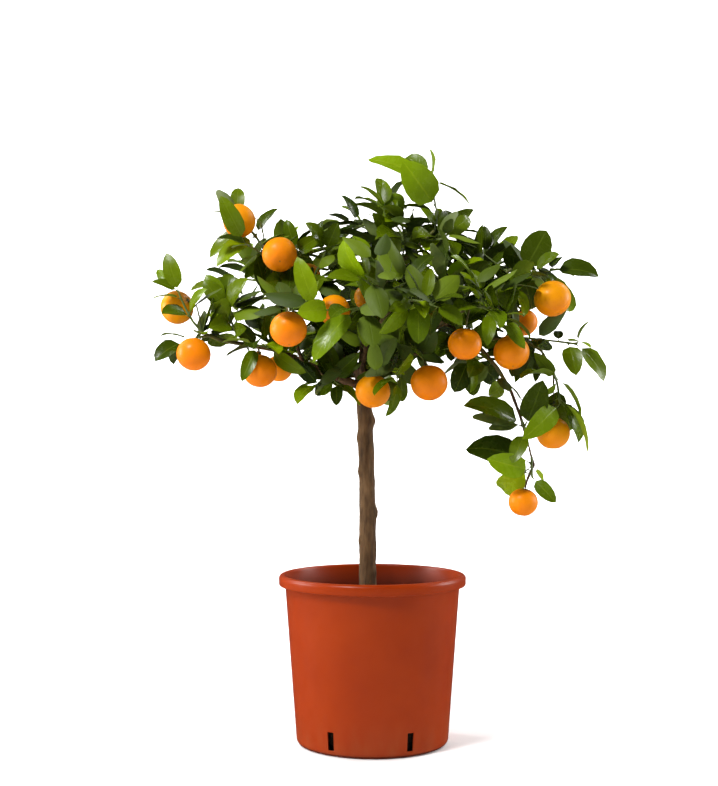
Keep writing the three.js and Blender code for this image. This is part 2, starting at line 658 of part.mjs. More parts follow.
      leaf(0.4, [-52, -62, 518], 16, FRONT, GROWN),
      leaf(0.9, [-30, -6, 566], 15, FRONT, GROWN),
    ],
  },
  shoot_back_1: {
    limb: 'back', share: 1, fill: 11, leaves: [],
    twigs: [[30, 175, 560], [60, 190, 530]],
  },
  shoot_back_2: {
    limb: 'back', share: 0.6, fill: 12, leaves: [],
    twigs: [[-20, 120, 530], [-45, 150, 500], [62, 100, 505]],
  },
  shoot_back_left_1: {
    limb: 'back_left', share: 1, fill: 11, leaves: [],
    twigs: [[-150, 145, 550], [-180, 120, 520]],
  },
  shoot_back_left_2: {
    limb: 'back_left', share: 0.6, fill: 12, leaves: [],
    twigs: [[-120, 70, 535], [-160, 60, 500], [-60, 96, 530]],
  },
  shoot_back_right_1: {
    limb: 'back_right', share: 1, fill: 11, leaves: [],
    twigs: [[150, 140, 550], [180, 110, 520]],
  },
  shoot_back_right_2: {
    limb: 'back_right', share: 0.6, fill: 12, leaves: [],
    twigs: [[120, 70, 535], [165, 60, 495], [72, 96, 530]],
  },
  shoot_back_top: {
    limb: 'back_top', share: 0.9, fill: 11, leaves: [],
    twigs: [[20, 95, 610], [-30, 90, 590]],
  },
  shoot_back_low: {
    limb: 'back_low', share: 0.7, fill: 11, leaves: [],
    twigs: [[-100, 115, 446], [-30, 120, 430]],
  },
  shoot_inner: {
    limb: 'leader', share: 0.45, fill: 12, leaves: [],
    twigs: [[30, 22, 542], [-20, 42, 545], [60, 46, 520]],
  },
};

// Room: a leaf keeps clear of everything that grew before it, and turns a little until it does.
const LEAF_CLEARANCE = 0.6;
const SHIFTS = [0, 0.2, 0.4];
const SIZES = [1, 0.88, 0.76];
const TURNS = [0, 9, -9, 18, -18, 28, -28];
const LIFTS = [0, 10, -10, 20, -20, 30, -30];
const CROWN_CENTRE = new THREE.Vector3(-5, 0, 470);
const SUNNY_SIDE = 110;

// The space before a fruit: the fruit on the sunny front side of the crown stay free of the
// leaves that fill it.
function sunnySpace({ centre, radius }) {
  const geometry = new THREE.CylinderGeometry(radius * 0.9, radius * 0.9, SUNNY_SIDE, 10);
  geometry.translate(centre.x, centre.y - SUNNY_SIDE / 2, centre.z);
  return solidOf(geometry);
}

function boxesMeet(one, other, margin) {
  return [0, 1, 2].every((axis) => (
    one.min[axis] < other.max[axis] + margin && other.min[axis] < one.max[axis] + margin
  ));
}

function isClear(solid, others) {
  const box = solid.boundingBox();
  return others.every((other) => (
    !boxesMeet(box, other.boundingBox(), LEAF_CLEARANCE)
      || solid.minGap(other, LEAF_CLEARANCE * 2) > LEAF_CLEARANCE
  ));
}

function tries() {
  const list = [];
  SHIFTS.forEach((shift) => SIZES.forEach((size) => TURNS.forEach((turn) => LIFTS.forEach((lift) => {
    const cost = shift * 60 + (1 - size) * 100 + Math.abs(turn) + Math.abs(lift) * 0.8;
    list.push({ shift, size, turn, lift, cost });
  }))));
  return list.sort((one, other) => one.cost - other.cost);
}

const TRIES = tries();

function turnedLeaf(wanted, { shift, size, turn, lift }) {
  const base = wanted.twig.getPointAt(Math.min(1, wanted.share + shift));
  const along = wanted.tip.clone().sub(base);
  const side = wanted.face.clone().cross(along).normalize();
  along.applyAxisAngle(wanted.face, THREE.MathUtils.degToRad(turn));
  along.applyAxisAngle(side, THREE.MathUtils.degToRad(lift));
  const tip = base.clone().addScaledVector(along, size);
  return { ...wanted, base, tip, width: wanted.width * size };
}

// The blade alone, from a little way up the petiole
function bladeOf(leafRow) {
  const base = leafRow.base.clone().lerp(leafRow.tip, PETIOLE_SHARE);
  return leafSolid({ ...leafRow, base });
}

function leafWithRoom(wanted, strangers, sisters) {
  for (const attempt of TRIES) {
    const row = turnedLeaf(wanted, attempt);
    const solid = leafSolid(row);
    const blade = bladeOf(row);
    if (isClear(solid, strangers) && isClear(blade, sisters)) return solid;
  }
  return null;
}

function twigCurve(start, leaving, end) {
  const bend = start.clone().addScaledVector(leaving, start.distanceTo(end) * TWIG_BEND);
  return new THREE.QuadraticBezierCurve3(start, bend, end);
}

function fillingLeaf(twig, index, count, roll) {
  const share = mix(FIRST_FILLING_SHARE, 1, (index + 0.7) / count);
  const base = twig.getPointAt(share);
  const tangent = twig.getTangentAt(share);
  const aside = tangent.clone().cross(UP).normalize();
  aside.applyAxisAngle(tangent, index * GOLDEN_ANGLE + roll() * 0.6);
  const spread = THREE.MathUtils.degToRad(mix(SPREAD_AT_FOOT, SPREAD_AT_TIP, share));
  const direction = tangent.multiplyScalar(Math.cos(spread)).addScaledVector(aside, Math.sin(spread));
  const length = mix(SHORTEST_FILLING_LEAF, LONGEST_FILLING_LEAF, roll());
  const outward = base.clone().sub(CROWN_CENTRE).normalize();
  const face = UP.clone().addScaledVector(outward, 0.5).addScaledVector(aside, 0.25).normalize();
  const tip = base.clone().addScaledVector(direction, length);
  const width = length * mix(NARROWEST_FILLING_LEAF, WIDEST_FILLING_LEAF, roll());
  return { twig, share, tip, width, face, age: roll() ** 2, isFilling: true };
}

// A listed leaf with the width of its blade, which is more than shows where it faces another way
function withFullWidth(row) {
  const along = row.tip.clone().sub(row.twig.getPointAt(row.share));
  const length = along.length();
  const side = row.face.clone().cross(along).normalize();
  const shownAlong = along.setY(0).normalize();
  const shown = shownAlong.cross(side.setY(0)).length();
  const width = row.width / Math.max(LEAST_SHOWN, shown);
  return { ...row, width: THREE.MathUtils.clamp(width, NARROWEST_LEAF * length, WIDEST_LEAF * length) };
}

function twigCurves({ limb, share, twigs }) {
  const { pith } = LIMBS[limb];
  const main = twigCurve(pith.getPointAt(share), pith.getTangentAt(share), vector(twigs[0]));
  const fork = main.getPointAt(TWIG_FORK_SHARE);
  const leaving = main.getTangentAt(TWIG_FORK_SHARE);
  return [main, ...twigs.slice(1).map((tip) => twigCurve(fork, leaving, vector(tip)))];
}

const largestBody = (solid) => (
  solid.decompose().sort((one, other) => other.volume() - one.volume())[0]
);

function twigSolid(curves, wood) {
  const rods = curves.map((curve) => rod(curve, TWIG_RADIUS, TWIG_TIP_RADIUS, 4, 3));
  return largestBody(Manifold.union(rods).subtract(wood));
}

function shootSolid({ curves, twig, leaves, fill }, strangers, sunny, roll) {
  const parts = [twig];
  const wanted = leaves.map((row) => withFullWidth({ ...row, twig: curves[0] }));
  curves.forEach((curve) => {
    const count = Math.round(fill / curves.length);
    for (let i = 0; i < count; i += 1) wanted.push(fillingLeaf(curve, i, count, roll));
  });
  wanted.forEach((row) => {
    const solid = leafWithRoom(row, row.isFilling ? [...strangers, ...sunny] : strangers, parts);
    if (solid) parts.push(solid);
  });
  return largestBody(Manifold.union(parts).simplify(SMALLEST_DETAIL));
}

const wood = woodSolid(0).add(Manifold.union(FRUITS.map((row) => stalkSolid(row, 0))));
const woodAndGap = woodSolid(GAP).add(Manifold.union(FRUITS.map((row) => stalkSolid(row, GAP))));
const pot = potSolid();
addPiece('pot', pot, { color: 0xb5452a, roughness: 0.42, metalness: 0 });
addPiece('soil', soilSolid(woodAndGap), { color: 0x2c1d14, roughness: 0.95, metalness: 0 });
addPiece('trunk_and_limbs', wood, { color: 0x6a4a31, roughness: 0.85, metalness: 0 });

const grown = [pot, wood];
FRUITS.forEach((row, index) => {
  const solid = fruitSolid(row);
  grown.push(solid);
  const name = `fruit_${String(index + 1).padStart(2, '0')}`;
  addPiece(name, solid, { color: 0xe58a10, roughness: 0.35, metalness: 0 });
});

const roll = dice(11);
const sunny = FRUITS.filter(({ centre }) => centre.y < 0).map(sunnySpace);
const shoots = Object.entries(SHOOTS).map(([name, row]) => {
  const curves = twigCurves(row);
  return { name, ...row, curves, twig: twigSolid(curves, woodAndGap) };
});
shoots.forEach((shoot, index) => {
  const laterTwigs = shoots.slice(index + 1).map(({ twig }) => twig);
  const solid = shootSolid(shoot, [...grown, ...laterTwigs], sunny, roll);
  grown.push(solid);
  addPiece(shoot.name, solid, { color: 0x3f6a1c, roughness: 0.4, metalness: 0 });
});

export default tree;
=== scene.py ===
import math
import random

import bmesh
import bpy
from mathutils import Matrix, Vector, noise
from mathutils.bvhtree import BVHTree


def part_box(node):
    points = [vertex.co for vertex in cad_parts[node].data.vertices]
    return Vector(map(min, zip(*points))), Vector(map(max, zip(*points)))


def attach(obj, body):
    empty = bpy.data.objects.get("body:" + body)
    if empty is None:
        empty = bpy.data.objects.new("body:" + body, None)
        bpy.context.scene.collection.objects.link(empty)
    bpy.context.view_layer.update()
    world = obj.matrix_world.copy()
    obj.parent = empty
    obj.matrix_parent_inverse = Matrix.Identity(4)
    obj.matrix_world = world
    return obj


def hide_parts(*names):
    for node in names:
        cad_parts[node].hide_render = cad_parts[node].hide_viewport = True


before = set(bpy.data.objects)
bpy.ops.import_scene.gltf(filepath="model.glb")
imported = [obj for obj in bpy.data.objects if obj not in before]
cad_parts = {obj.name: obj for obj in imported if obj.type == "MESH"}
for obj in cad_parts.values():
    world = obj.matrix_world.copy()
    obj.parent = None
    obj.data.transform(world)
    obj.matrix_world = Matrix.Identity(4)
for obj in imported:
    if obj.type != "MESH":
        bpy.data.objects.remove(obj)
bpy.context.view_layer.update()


# ---------------------------------------------------------------- the place it stands in
# A plain pale studio: a broad sheet for the floor, curving up far behind the tree, a white room
# around it, a soft key light high in front, a soft light at each side and two on the backdrop.
def added(name, mesh):
    piece = bpy.data.objects.new(name, mesh)
    bpy.context.scene.collection.objects.link(piece)
    return piece


def verts_in(geometry):
    return [part for part in geometry if isinstance(part, bmesh.types.BMVert)]


def finished_mesh(name, shape, material, sharp_angle=None):
    for face in shape.faces:
        face.smooth = True
    if sharp_angle is not None:
        for edge in shape.edges:
            if len(edge.link_faces) == 2 and edge.calc_face_angle() > math.radians(sharp_angle):
                edge.smooth = False
    mesh = bpy.data.meshes.new(name)
    shape.to_mesh(mesh)
    shape.free()
    mesh.materials.append(material)
    return mesh


def shader_node(tree, kind, inputs=None, **settings):
    made = tree.nodes.new(kind)
    for name, value in settings.items():
        setattr(made, name, value)
    for socket, value in (inputs or {}).items():
        if isinstance(value, bpy.types.NodeSocket):
            tree.links.new(value, made.inputs[socket])
        else:
            made.inputs[socket].default_value = value
    return made


def new_material(name, **principled):
    material = bpy.data.materials.new(name)
    material.use_nodes = True
    shader = material.node_tree.nodes["Principled BSDF"]
    for socket, value in principled.items():
        shader.inputs[socket.replace("_", " ")].default_value = value
    return material, material.node_tree, shader


FLOOR_SIDE = 6
FLOOR_FRONT = -4
CURVE_START = 3
CURVE_RADIUS = 1.5
CURVE_STEPS = 12
BACKDROP_TOP = 5

studio_white, _, _ = new_material("studio_white", Base_Color=(0.9, 0.9, 0.9, 1), Roughness=0.9)
floor_shape = bmesh.new()
floor_line = [floor_shape.verts.new((-FLOOR_SIDE, FLOOR_FRONT, 0))]
for step in range(CURVE_STEPS + 1):
    turn = math.radians(90 * step / CURVE_STEPS)
    back = CURVE_START + CURVE_RADIUS * math.sin(turn)
    up = CURVE_RADIUS - CURVE_RADIUS * math.cos(turn)
    floor_line.append(floor_shape.verts.new((-FLOOR_SIDE, back, up)))
floor_line.append(floor_shape.verts.new((-FLOOR_SIDE, CURVE_START + CURVE_RADIUS, BACKDROP_TOP)))
floor_edges = [floor_shape.edges.new(pair) for pair in zip(floor_line, floor_line[1:])]
floor_sheet = bmesh.ops.extrude_edge_only(floor_shape, edges=floor_edges)["geom"]
bmesh.ops.translate(floor_shape, vec=(2 * FLOOR_SIDE, 0, 0), verts=verts_in(floor_sheet))
bmesh.ops.recalc_face_normals(floor_shape, faces=floor_shape.faces)
floor = added("floor", finished_mesh("floor", floor_shape, studio_white))
floor.visible_glossy = False

# The room is bright to look at and to be lit by, and dim in reflections, so the gloss stays dark
ROOM_LIGHT = 0.27
ROOM_GLARE = 0.06
room = bpy.data.worlds.new("room")
room.use_nodes = True
room_tree = room.node_tree
seen_by = shader_node(room_tree, "ShaderNodeLightPath")
room_strength = shader_node(room_tree, "ShaderNodeMapRange", {
    "Value": seen_by.outputs["Is Glossy Ray"], "To Min": ROOM_LIGHT, "To Max": ROOM_GLARE,
})
room_tree.nodes["Background"].inputs["Color"].default_value = (1, 1, 1, 1)
room_tree.links.new(room_strength.outputs["Result"], room_tree.nodes["Background"].inputs["Strength"])
bpy.context.scene.world = room
bpy.context.scene.view_settings.view_transform = "Standard"


def soft_light(name, place, aim, size, watts):
    data = bpy.data.lights.new(name, "AREA")
    data.shape = "DISK"
    data.size = size
    data.energy = watts
    lamp = added(name, data)
    lamp.location = place
    lamp.rotation_euler = (Vector(aim) - Vector(place)).to_track_quat("-Z", "Y").to_euler()


soft_light("key_light", (-1.0, -1.2, 1.95), (0, 0, 0.42), size=0.5, watts=46)
soft_light("left_light", (-1.5, 0.1, 0.6), (0, 0, 0.25), size=0.7, watts=17)
soft_light("right_light", (1.5, 0.25, 0.6), (0, 0, 0.25), size=0.7, watts=14)
soft_light("backdrop_light_left", (-2.2, 1.6, 2.4), (-0.8, 4, 1.2), size=1.6, watts=210)
soft_light("backdrop_light_right", (2.2, 1.6, 2.4), (0.8, 4, 1.2), size=1.6, watts=210)

CAMERA_LENS = 69.3
SENSOR_WIDTH = 36
CAMERA_PLACE = (-0.015, -1.7, 0.392)
camera_data = bpy.data.cameras.new("camera")
camera_data.lens = CAMERA_LENS
camera_data.sensor_width = SENSOR_WIDTH
camera = added("camera", camera_data)
camera.location = CAMERA_PLACE
camera.rotation_euler = (math.radians(90), 0, 0)
bpy.context.scene.camera = camera


# ---------------------------------------------------------------- the container
# A thin terracotta-coloured nursery container, moulded in one piece: flared wall, rolled rim,
# rounded foot, and six upright drainage slots low in the wall. Its CAD node is replaced.
POT_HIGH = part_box("pot")[1]
RIM_RADIUS = POT_HIGH.x
POT_HEIGHT = POT_HIGH.z
RIM_DEPTH = 0.012
RIM_TUCK = 0.0016
RIM_CREASE = 0.0012
LOWER_LIP = 0.0014
OUTER_LIP = 0.0042
INNER_LIP = 0.0026
FOOT_SHARE = 0.8067
FLARE = 0.0745
WALL = 0.002
BASE = 0.0025
FILLET = 0.007
POT_STEPS = 144
SLOTS = 6
SLOT_PITCH = 360 // SLOTS
SLOT_STEPS = 2
SLOT_BOTTOM = 0.007
SLOT_TOP = 0.027
FIRST_SLOT = -32
SLOT_SLACK = 0.01
CLOSE = 1e-5


def wall_radius(height):
    return RIM_RADIUS * FOOT_SHARE + FLARE * height


def arc(centre_r, centre_z, radius, start, end, steps):
    turns = [math.radians(start + (end - start) * step / steps) for step in range(steps + 1)]
    return [(centre_r + radius * math.cos(turn), centre_z + radius * math.sin(turn)) for turn in turns]


def turned_shape(profile, steps, start_angle):
    """The profile, as (radius, height) pairs, spun right round the upright axis."""
    shape = bmesh.new()
    across = Vector((math.sin(start_angle), -math.cos(start_angle), 0))
    line = [shape.verts.new(across * radius + Vector((0, 0, height))) for radius, height in profile]
    edges = [shape.edges.new(pair) for pair in zip(line, line[1:])]
    bmesh.ops.spin(
        shape, geom=line + edges, cent=(0, 0, 0), axis=(0, 0, 1),
        angle=math.tau, steps=steps, use_merge=True,
    )
    bmesh.ops.remove_doubles(shape, verts=shape.verts, dist=1e-6)
    bmesh.ops.recalc_face_normals(shape, faces=shape.faces)
    return shape


rim_foot = POT_HEIGHT - RIM_DEPTH
pot_profile = [(0, 0), (RIM_RADIUS * 0.4, 0)]
pot_profile += arc(wall_radius(FILLET) - FILLET, FILLET, FILLET, -90, 0, 6)
pot_profile += [(wall_radius(height), height) for height in (SLOT_TOP, 0.06, 0.1, 0.14, rim_foot - 0.003)]
pot_profile += arc(wall_radius(rim_foot) + RIM_TUCK, rim_foot - RIM_CREASE, RIM_CREASE, 180, 90, 3)
pot_profile += arc(RIM_RADIUS - RIM_TUCK, rim_foot + LOWER_LIP, LOWER_LIP, -90, -5, 3)
pot_profile += arc(RIM_RADIUS - OUTER_LIP, POT_HEIGHT - OUTER_LIP, OUTER_LIP, 0, 90, 6)
pot_profile += arc(
    wall_radius(POT_HEIGHT) - WALL + INNER_LIP, POT_HEIGHT - INNER_LIP, INNER_LIP, 90, 180, 4
)
pot_profile += [(wall_radius(height) - WALL, height) for height in (0.16, 0.1, SLOT_TOP, SLOT_BOTTOM)]
pot_profile += [(wall_radius(0) - FILLET, BASE), (0, BASE)]
slot_edge = math.radians(FIRST_SLOT - 180 * SLOT_STEPS / POT_STEPS)
pot_shape = turned_shape(pot_profile, POT_STEPS, slot_edge)

inner_layer = pot_shape.verts.layers.float.new("inside")
for vert in pot_shape.verts:
    within = wall_radius(vert.co.z) - WALL / 2 - vert.co.xy.length
    vert[inner_layer] = 1.0 if within > 0 and 0.0015 < vert.co.z < POT_HEIGHT - 0.004 else 0.0


def within_slot_height(point):
    return SLOT_BOTTOM - CLOSE < point.z < SLOT_TOP + CLOSE


def slot_number(point):
    """Which of the six slots the point is at, or None."""
    turn = (math.degrees(math.atan2(point.x, -point.y)) - math.degrees(slot_edge)) % 360
    past_edge = turn % SLOT_PITCH
    width = 360 * SLOT_STEPS / POT_STEPS
    across_slot = past_edge < width + SLOT_SLACK or past_edge > SLOT_PITCH - SLOT_SLACK
    on_wall = point.xy.length > wall_radius(0) - WALL - 0.001
    if within_slot_height(point) and on_wall and across_slot:
        return round(turn - past_edge if past_edge < SLOT_PITCH - 1 else turn) // SLOT_PITCH % SLOTS
    return None


slot_faces = [
    face for face in pot_shape.faces
    if slot_number(face.calc_center_median()) is not None
    and abs(face.normal.z) < 0.5 and all(within_slot_height(vert.co) for vert in face.verts)
]
bmesh.ops.delete(pot_shape, geom=slot_faces, context="FACES")
open_edges = [edge for edge in pot_shape.edges if edge.is_boundary]
for number in range(SLOTS):
    ring = [
        edge for edge in open_edges
        if slot_number((edge.verts[0].co + edge.verts[1].co) / 2) == number
    ]
    bmesh.ops.bridge_loops(pot_shape, edges=ring)
bmesh.ops.recalc_face_normals(pot_shape, faces=pot_shape.faces)


# Slow uneven tone, used by most finishes: two colours mixed by a noise that can be stretched.
mottle = bpy.data.node_groups.new("mottle", "ShaderNodeTree")
for socket_name, socket_type in (
    ("First Color", "NodeSocketColor"), ("Second Color", "NodeSocketColor"),
    ("Scale", "NodeSocketFloat"), ("Stretch", "NodeSocketVector"), ("Detail", "NodeSocketFloat"),
):
    mottle.interface.new_socket(name=socket_name, in_out="INPUT", socket_type=socket_type)
for socket_name, socket_type in (("Color", "NodeSocketColor"), ("Grain", "NodeSocketFloat")):
    mottle.interface.new_socket(name=socket_name, in_out="OUTPUT", socket_type=socket_type)
mottle_in = mottle.nodes.new("NodeGroupInput")
mottle_out = mottle.nodes.new("NodeGroupOutput")
mottle_place = shader_node(mottle, "ShaderNodeTexCoord")
mottle_stretch = shader_node(mottle, "ShaderNodeMapping", {
    "Vector": mottle_place.outputs["Object"], "Scale": mottle_in.outputs["Stretch"],
})
mottle_noise = shader_node(mottle, "ShaderNodeTexNoise", {
    "Vector": mottle_stretch.outputs["Vector"], "Scale": mottle_in.outputs["Scale"],
    "Detail": mottle_in.outputs["Detail"], "Roughness": 0.6,
})
mottle_spread = shader_node(mottle, "ShaderNodeMapRange", {
    "Value": mottle_noise.outputs["Fac"], "From Min": 0.3, "From Max": 0.7,
})
mottle_mix = shader_node(mottle, "ShaderNodeMix", data_type="RGBA")
mottle.links.new(mottle_spread.outputs["Result"], mottle_mix.inputs[0])
mottle.links.new(mottle_in.outputs["First Color"], mottle_mix.inputs[6])
mottle.links.new(mottle_in.outputs["Second Color"], mottle_mix.inputs[7])
mottle.links.new(mottle_mix.outputs[2], mottle_out.inputs["Color"])
mottle.links.new(mottle_spread.outputs["Result"], mottle_out.inputs["Grain"])


def mottled(tree, first, second, scale, stretch=(1, 1, 1), detail=3):
    made = tree.nodes.new("ShaderNodeGroup")
    made.node_tree = mottle
    for socket, value in (("First Color", first), ("Second Color", second)):
        if isinstance(value, bpy.types.NodeSocket):
            tree.links.new(value, made.inputs[socket])
        else:
            made.inputs[socket].default_value = (*value, 1)
    made.inputs["Scale"].default_value = scale
    made.inputs["Stretch"].default_value = stretch
    made.inputs["Detail"].default_value = detail
    return made


def ranged(tree, value, low, high, out_low=0.0, out_high=1.0, smooth=True):
    kind = "SMOOTHSTEP" if smooth else "LINEAR"
    made = shader_node(tree, "ShaderNodeMapRange", {
        "Value": value, "From Min": low, "From Max": high, "To Min": out_low, "To Max": out_high,
    }, interpolation_type=kind)
    return made.outputs["Result"]


def mixed(tree, factor, first, second, blend="MIX"):
    made = shader_node(tree, "ShaderNodeMix", data_type="RGBA", blend_type=blend)
    for slot_index, value in ((0, factor), (6, first), (7, second)):
        if isinstance(value, bpy.types.NodeSocket):
            tree.links.new(value, made.inputs[slot_index])
        else:
            made.inputs[slot_index].default_value = value if slot_index == 0 else (*value, 1)
    return made.outputs[2]


def calculated(tree, operation, *values):
    return shader_node(tree, "ShaderNodeMath", dict(enumerate(values)), operation=operation).outputs[0]


def attribute(tree, name):
    return shader_node(tree, "ShaderNodeAttribute", attribute_name=name).outputs["Fac"]


def object_place(tree):
    return shader_node(tree, "ShaderNodeTexCoord").outputs["Object"]


def grain(tree, scale, stretch=(1, 1, 1), detail=3):
    return mottled(tree, (0, 0, 0), (1, 1, 1), scale, stretch, detail).outputs["Grain"]


def raised(tree, shader, height, distance, strength=1.0):
    bump = shader_node(tree, "ShaderNodeBump", {
        "Height": height, "Distance": distance, "Strength": strength,
    })
    tree.links.new(bump.outputs["Normal"], shader.inputs["Normal"])


TERRACOTTA = (0.285, 0.0265, 0.0003)
PALER_TERRACOTTA = (0.325, 0.033, 0.0004)
FOOT_DUST = (0.33, 0.09, 0.03)
# The two inner-wall colours are painted shade: dark, as shade falls inside the container
SHADED_INNER_WALL = (0.045, 0.006, 0.001)
LIGHTER_SHADED_INNER_WALL = (0.11, 0.012, 0.002)
DUST_HEIGHT = 0.05
GLOSSIEST = 0.31
MOST_SCUFFED = 0.345
INNER_WALL_ROUGHER = 0.5
MOULDING_GRAIN = 0.00005

pot_plastic, tree, shader = new_material("pot_plastic", Specular_IOR_Level=0.2)
pot_tone = mottled(tree, TERRACOTTA, PALER_TERRACOTTA, 14)
height_up = shader_node(tree, "ShaderNodeSeparateXYZ", {"Vector": object_place(tree)}).outputs["Z"]
foot_dust = ranged(tree, height_up, DUST_HEIGHT, 0.0, 0.0, 0.35)
dust = calculated(tree, "MULTIPLY", foot_dust, grain(tree, 60, (1, 1, 0.3), 6))
pot_color = mixed(tree, dust, pot_tone.outputs["Color"], FOOT_DUST)
inner_wall = attribute(tree, "inside")
# The inside of the wall is painted darker with a mottled painted shade
painted_inner_shade = mottled(tree, SHADED_INNER_WALL, LIGHTER_SHADED_INNER_WALL, 30, (1, 1, 0.4), 5)
pot_color = mixed(tree, inner_wall, pot_color, painted_inner_shade.outputs["Color"])
tree.links.new(pot_color, shader.inputs["Base Color"])
scuffed = ranged(tree, grain(tree, 90, (1, 1, 0.15), 5), 0, 1, GLOSSIEST, MOST_SCUFFED)
pot_roughness = calculated(tree, "MULTIPLY_ADD", inner_wall, INNER_WALL_ROUGHER, scuffed)
tree.links.new(pot_roughness, shader.inputs["Roughness"])
raised(tree, shader, grain(tree, 900, (1, 1, 1), 2), MOULDING_GRAIN, 0.35)

pot = added("container", finished_mesh("container", pot_shape, pot_plastic, 35))
slot_bevel = pot.modifiers.new("slot_edges", "BEVEL")
slot_bevel.width = 0.0003
slot_bevel.segments = 2
slot_bevel.limit_method = "ANGLE"
slot_bevel.angle_limit = math.radians(60)
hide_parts("pot")
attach(pot, "root")


# ---------------------------------------------------------------- the compost
# Dark damp peat compost, filled to below the rim: an uneven lumpy surface around the trunk, on a
# body that fills the container, with loose crumbs lying on it.
SOIL_LOW, SOIL_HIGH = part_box("soil")
SOIL_HEAP = 0.004
SOIL_EDGE_HEIGHT = SOIL_HIGH.z - SOIL_HEAP
SOIL_GAP = 0.0003
SOIL_RINGS = 26
STEM_X = -0.005
TRUNK_FOOT = Vector((STEM_X, 0, SOIL_HIGH.z))
TRUNK_HOLE = 0.0118
BETWEEN_RIMS = 0.05
SETTLED_EDGE = 0.006
LUMP_HEIGHT = 0.0016
SWELL_HEIGHT = 0.0022


def compost_height(point):
    lumps = noise.fractal(point * 95, 0.7, 2.2, 4) * LUMP_HEIGHT
    return lumps + noise.noise(point * 22 + Vector((3, 7, 1))) * SWELL_HEIGHT


soil_shape = bmesh.new()
bmesh.ops.create_circle(
    soil_shape, segments=POT_STEPS, radius=wall_radius(SOIL_EDGE_HEIGHT) - WALL - SOIL_GAP,
    matrix=Matrix.Translation((0, 0, SOIL_EDGE_HEIGHT)),
)
bmesh.ops.create_circle(
    soil_shape, segments=POT_STEPS, radius=TRUNK_HOLE, matrix=Matrix.Translation(TRUNK_FOOT)
)
radial = bmesh.ops.bridge_loops(soil_shape, edges=soil_shape.edges[:])["edges"]
bmesh.ops.subdivide_edges(soil_shape, edges=radial, cuts=SOIL_RINGS, use_grid_fill=True)
rim_edges = [edge for edge in soil_shape.edges if edge.is_boundary]
for vert in soil_shape.verts:
    to_wall = wall_radius(SOIL_EDGE_HEIGHT) - WALL - vert.co.xy.length
    flat = Vector((vert.co.x, vert.co.y, 0))
    vert.co.z += compost_height(flat) * min(1, to_wall / SETTLED_EDGE)
outer_rim = [edge for edge in rim_edges if edge.verts[0].co.xy.length > BETWEEN_RIMS]
inner_rim = [edge for edge in rim_edges if edge.verts[0].co.xy.length < BETWEEN_RIMS]
for rim, centre, foot_radius in (
    (outer_rim, Vector((0, 0, 0)), wall_radius(0) - FILLET - 0.002),
    (inner_rim, TRUNK_FOOT, TRUNK_HOLE),
):
    for vert in verts_in(bmesh.ops.extrude_edge_only(soil_shape, edges=rim)["geom"]):
        outward = (vert.co - centre).xy.normalized()
        across_x = centre.x + outward.x * foot_radius
        across_y = centre.y + outward.y * foot_radius
        vert.co = Vector((across_x, across_y, SOIL_LOW.z))
bmesh.ops.bridge_loops(soil_shape, edges=[edge for edge in soil_shape.edges if edge.is_boundary])
bmesh.ops.recalc_face_normals(soil_shape, faces=soil_shape.faces)

WET_PEAT = (0.012, 0.008, 0.005)
DRY_PEAT = (0.055, 0.034, 0.019)

compost, tree, shader = new_material("compost", Roughness=0.95, Specular_IOR_Level=0.25)
compost_tone = mottled(tree, WET_PEAT, DRY_PEAT, 240, (1, 1, 1), 8)
tree.links.new(compost_tone.outputs["Color"], shader.inputs["Base Color"])
raised(tree, shader, grain(tree, 700, (1, 1, 1), 6), 0.0008, 0.8)
soil = added("compost", finished_mesh("compost", soil_shape, compost))
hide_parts("soil")
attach(soil, "root")

CRUMBS = 520
SMALLEST_CRUMB = 0.0006
CRUMB_SPREAD = 0.0022
CLEAR_OF_WALL = 0.008
CLEAR_OF_TRUNK = 0.004

crumb_shape = bmesh.new()
chance = random.Random(5)
for _ in range(CRUMBS):
    reach = (wall_radius(SOIL_EDGE_HEIGHT) - CLEAR_OF_WALL) * math.sqrt(chance.random())
    turn = chance.uniform(0, math.tau)
    spot = Vector((reach * math.cos(turn), reach * math.sin(turn), 0))
    if (spot - TRUNK_FOOT).xy.length < TRUNK_HOLE + CLEAR_OF_TRUNK:
        continue
    size = SMALLEST_CRUMB + CRUMB_SPREAD * chance.random() ** 3
    heap = SOIL_EDGE_HEIGHT + SOIL_HEAP * (1 - reach / wall_radius(SOIL_EDGE_HEIGHT))
    place = spot + Vector((0, 0, heap + compost_height(spot) + size * 0.3))
    stretch = Matrix.Diagonal((1, chance.uniform(0.5, 1), chance.uniform(0.35, 0.8), 1))
    spin = Matrix.Rotation(chance.uniform(0, math.tau), 4, "Z")
    lump = bmesh.ops.create_icosphere(
        crumb_shape, subdivisions=1, radius=size, matrix=Matrix.Translation(place) @ spin @ stretch
    )["verts"]
    for vert in lump:
        vert.co += Vector([chance.uniform(-0.2, 0.2) * size for _ in range(3)])
crumbs = added("compost_crumbs", finished_mesh("compost_crumbs", crumb_shape, compost, 30))
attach(crumbs, "root")


# ---------------------------------------------------------------- the wood
# The trunk and its limbs, which grew as one: a slim straight stem with small knots where side
# shoots were cut away, and limbs that fork from one head. Bark is grey-brown on old wood and turns
# green on young limbs. The solid's joins are smoothed, and it is given its bark and its knots.
def merged_copy(node):
    shape = bmesh.new()
    shape.from_mesh(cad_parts[node].data)
    bmesh.ops.remove_doubles(shape, verts=shape.verts, dist=2e-6)
    return shape


def clamped(value):
    return max(0.0, min(1.0, value))


HEAD = Vector((-0.011, 0, 0.408))
HEAD_TOP = 0.006
HEAD_BLEND = 0.02
UPPER_STEM_LEAN = 0.004
STEM_RADIUS = 0.009
WOOD_VOXEL = 0.0010
SMOOTHINGS = 6
OLD_LIMB = 0.09
YOUNG_BLEND = 0.12
BARK_FURROWS = 0.00055
BARK_SWELL = 0.0006
BARK_RIDGES = 0.00012
BARK_SKIN = 0.00025
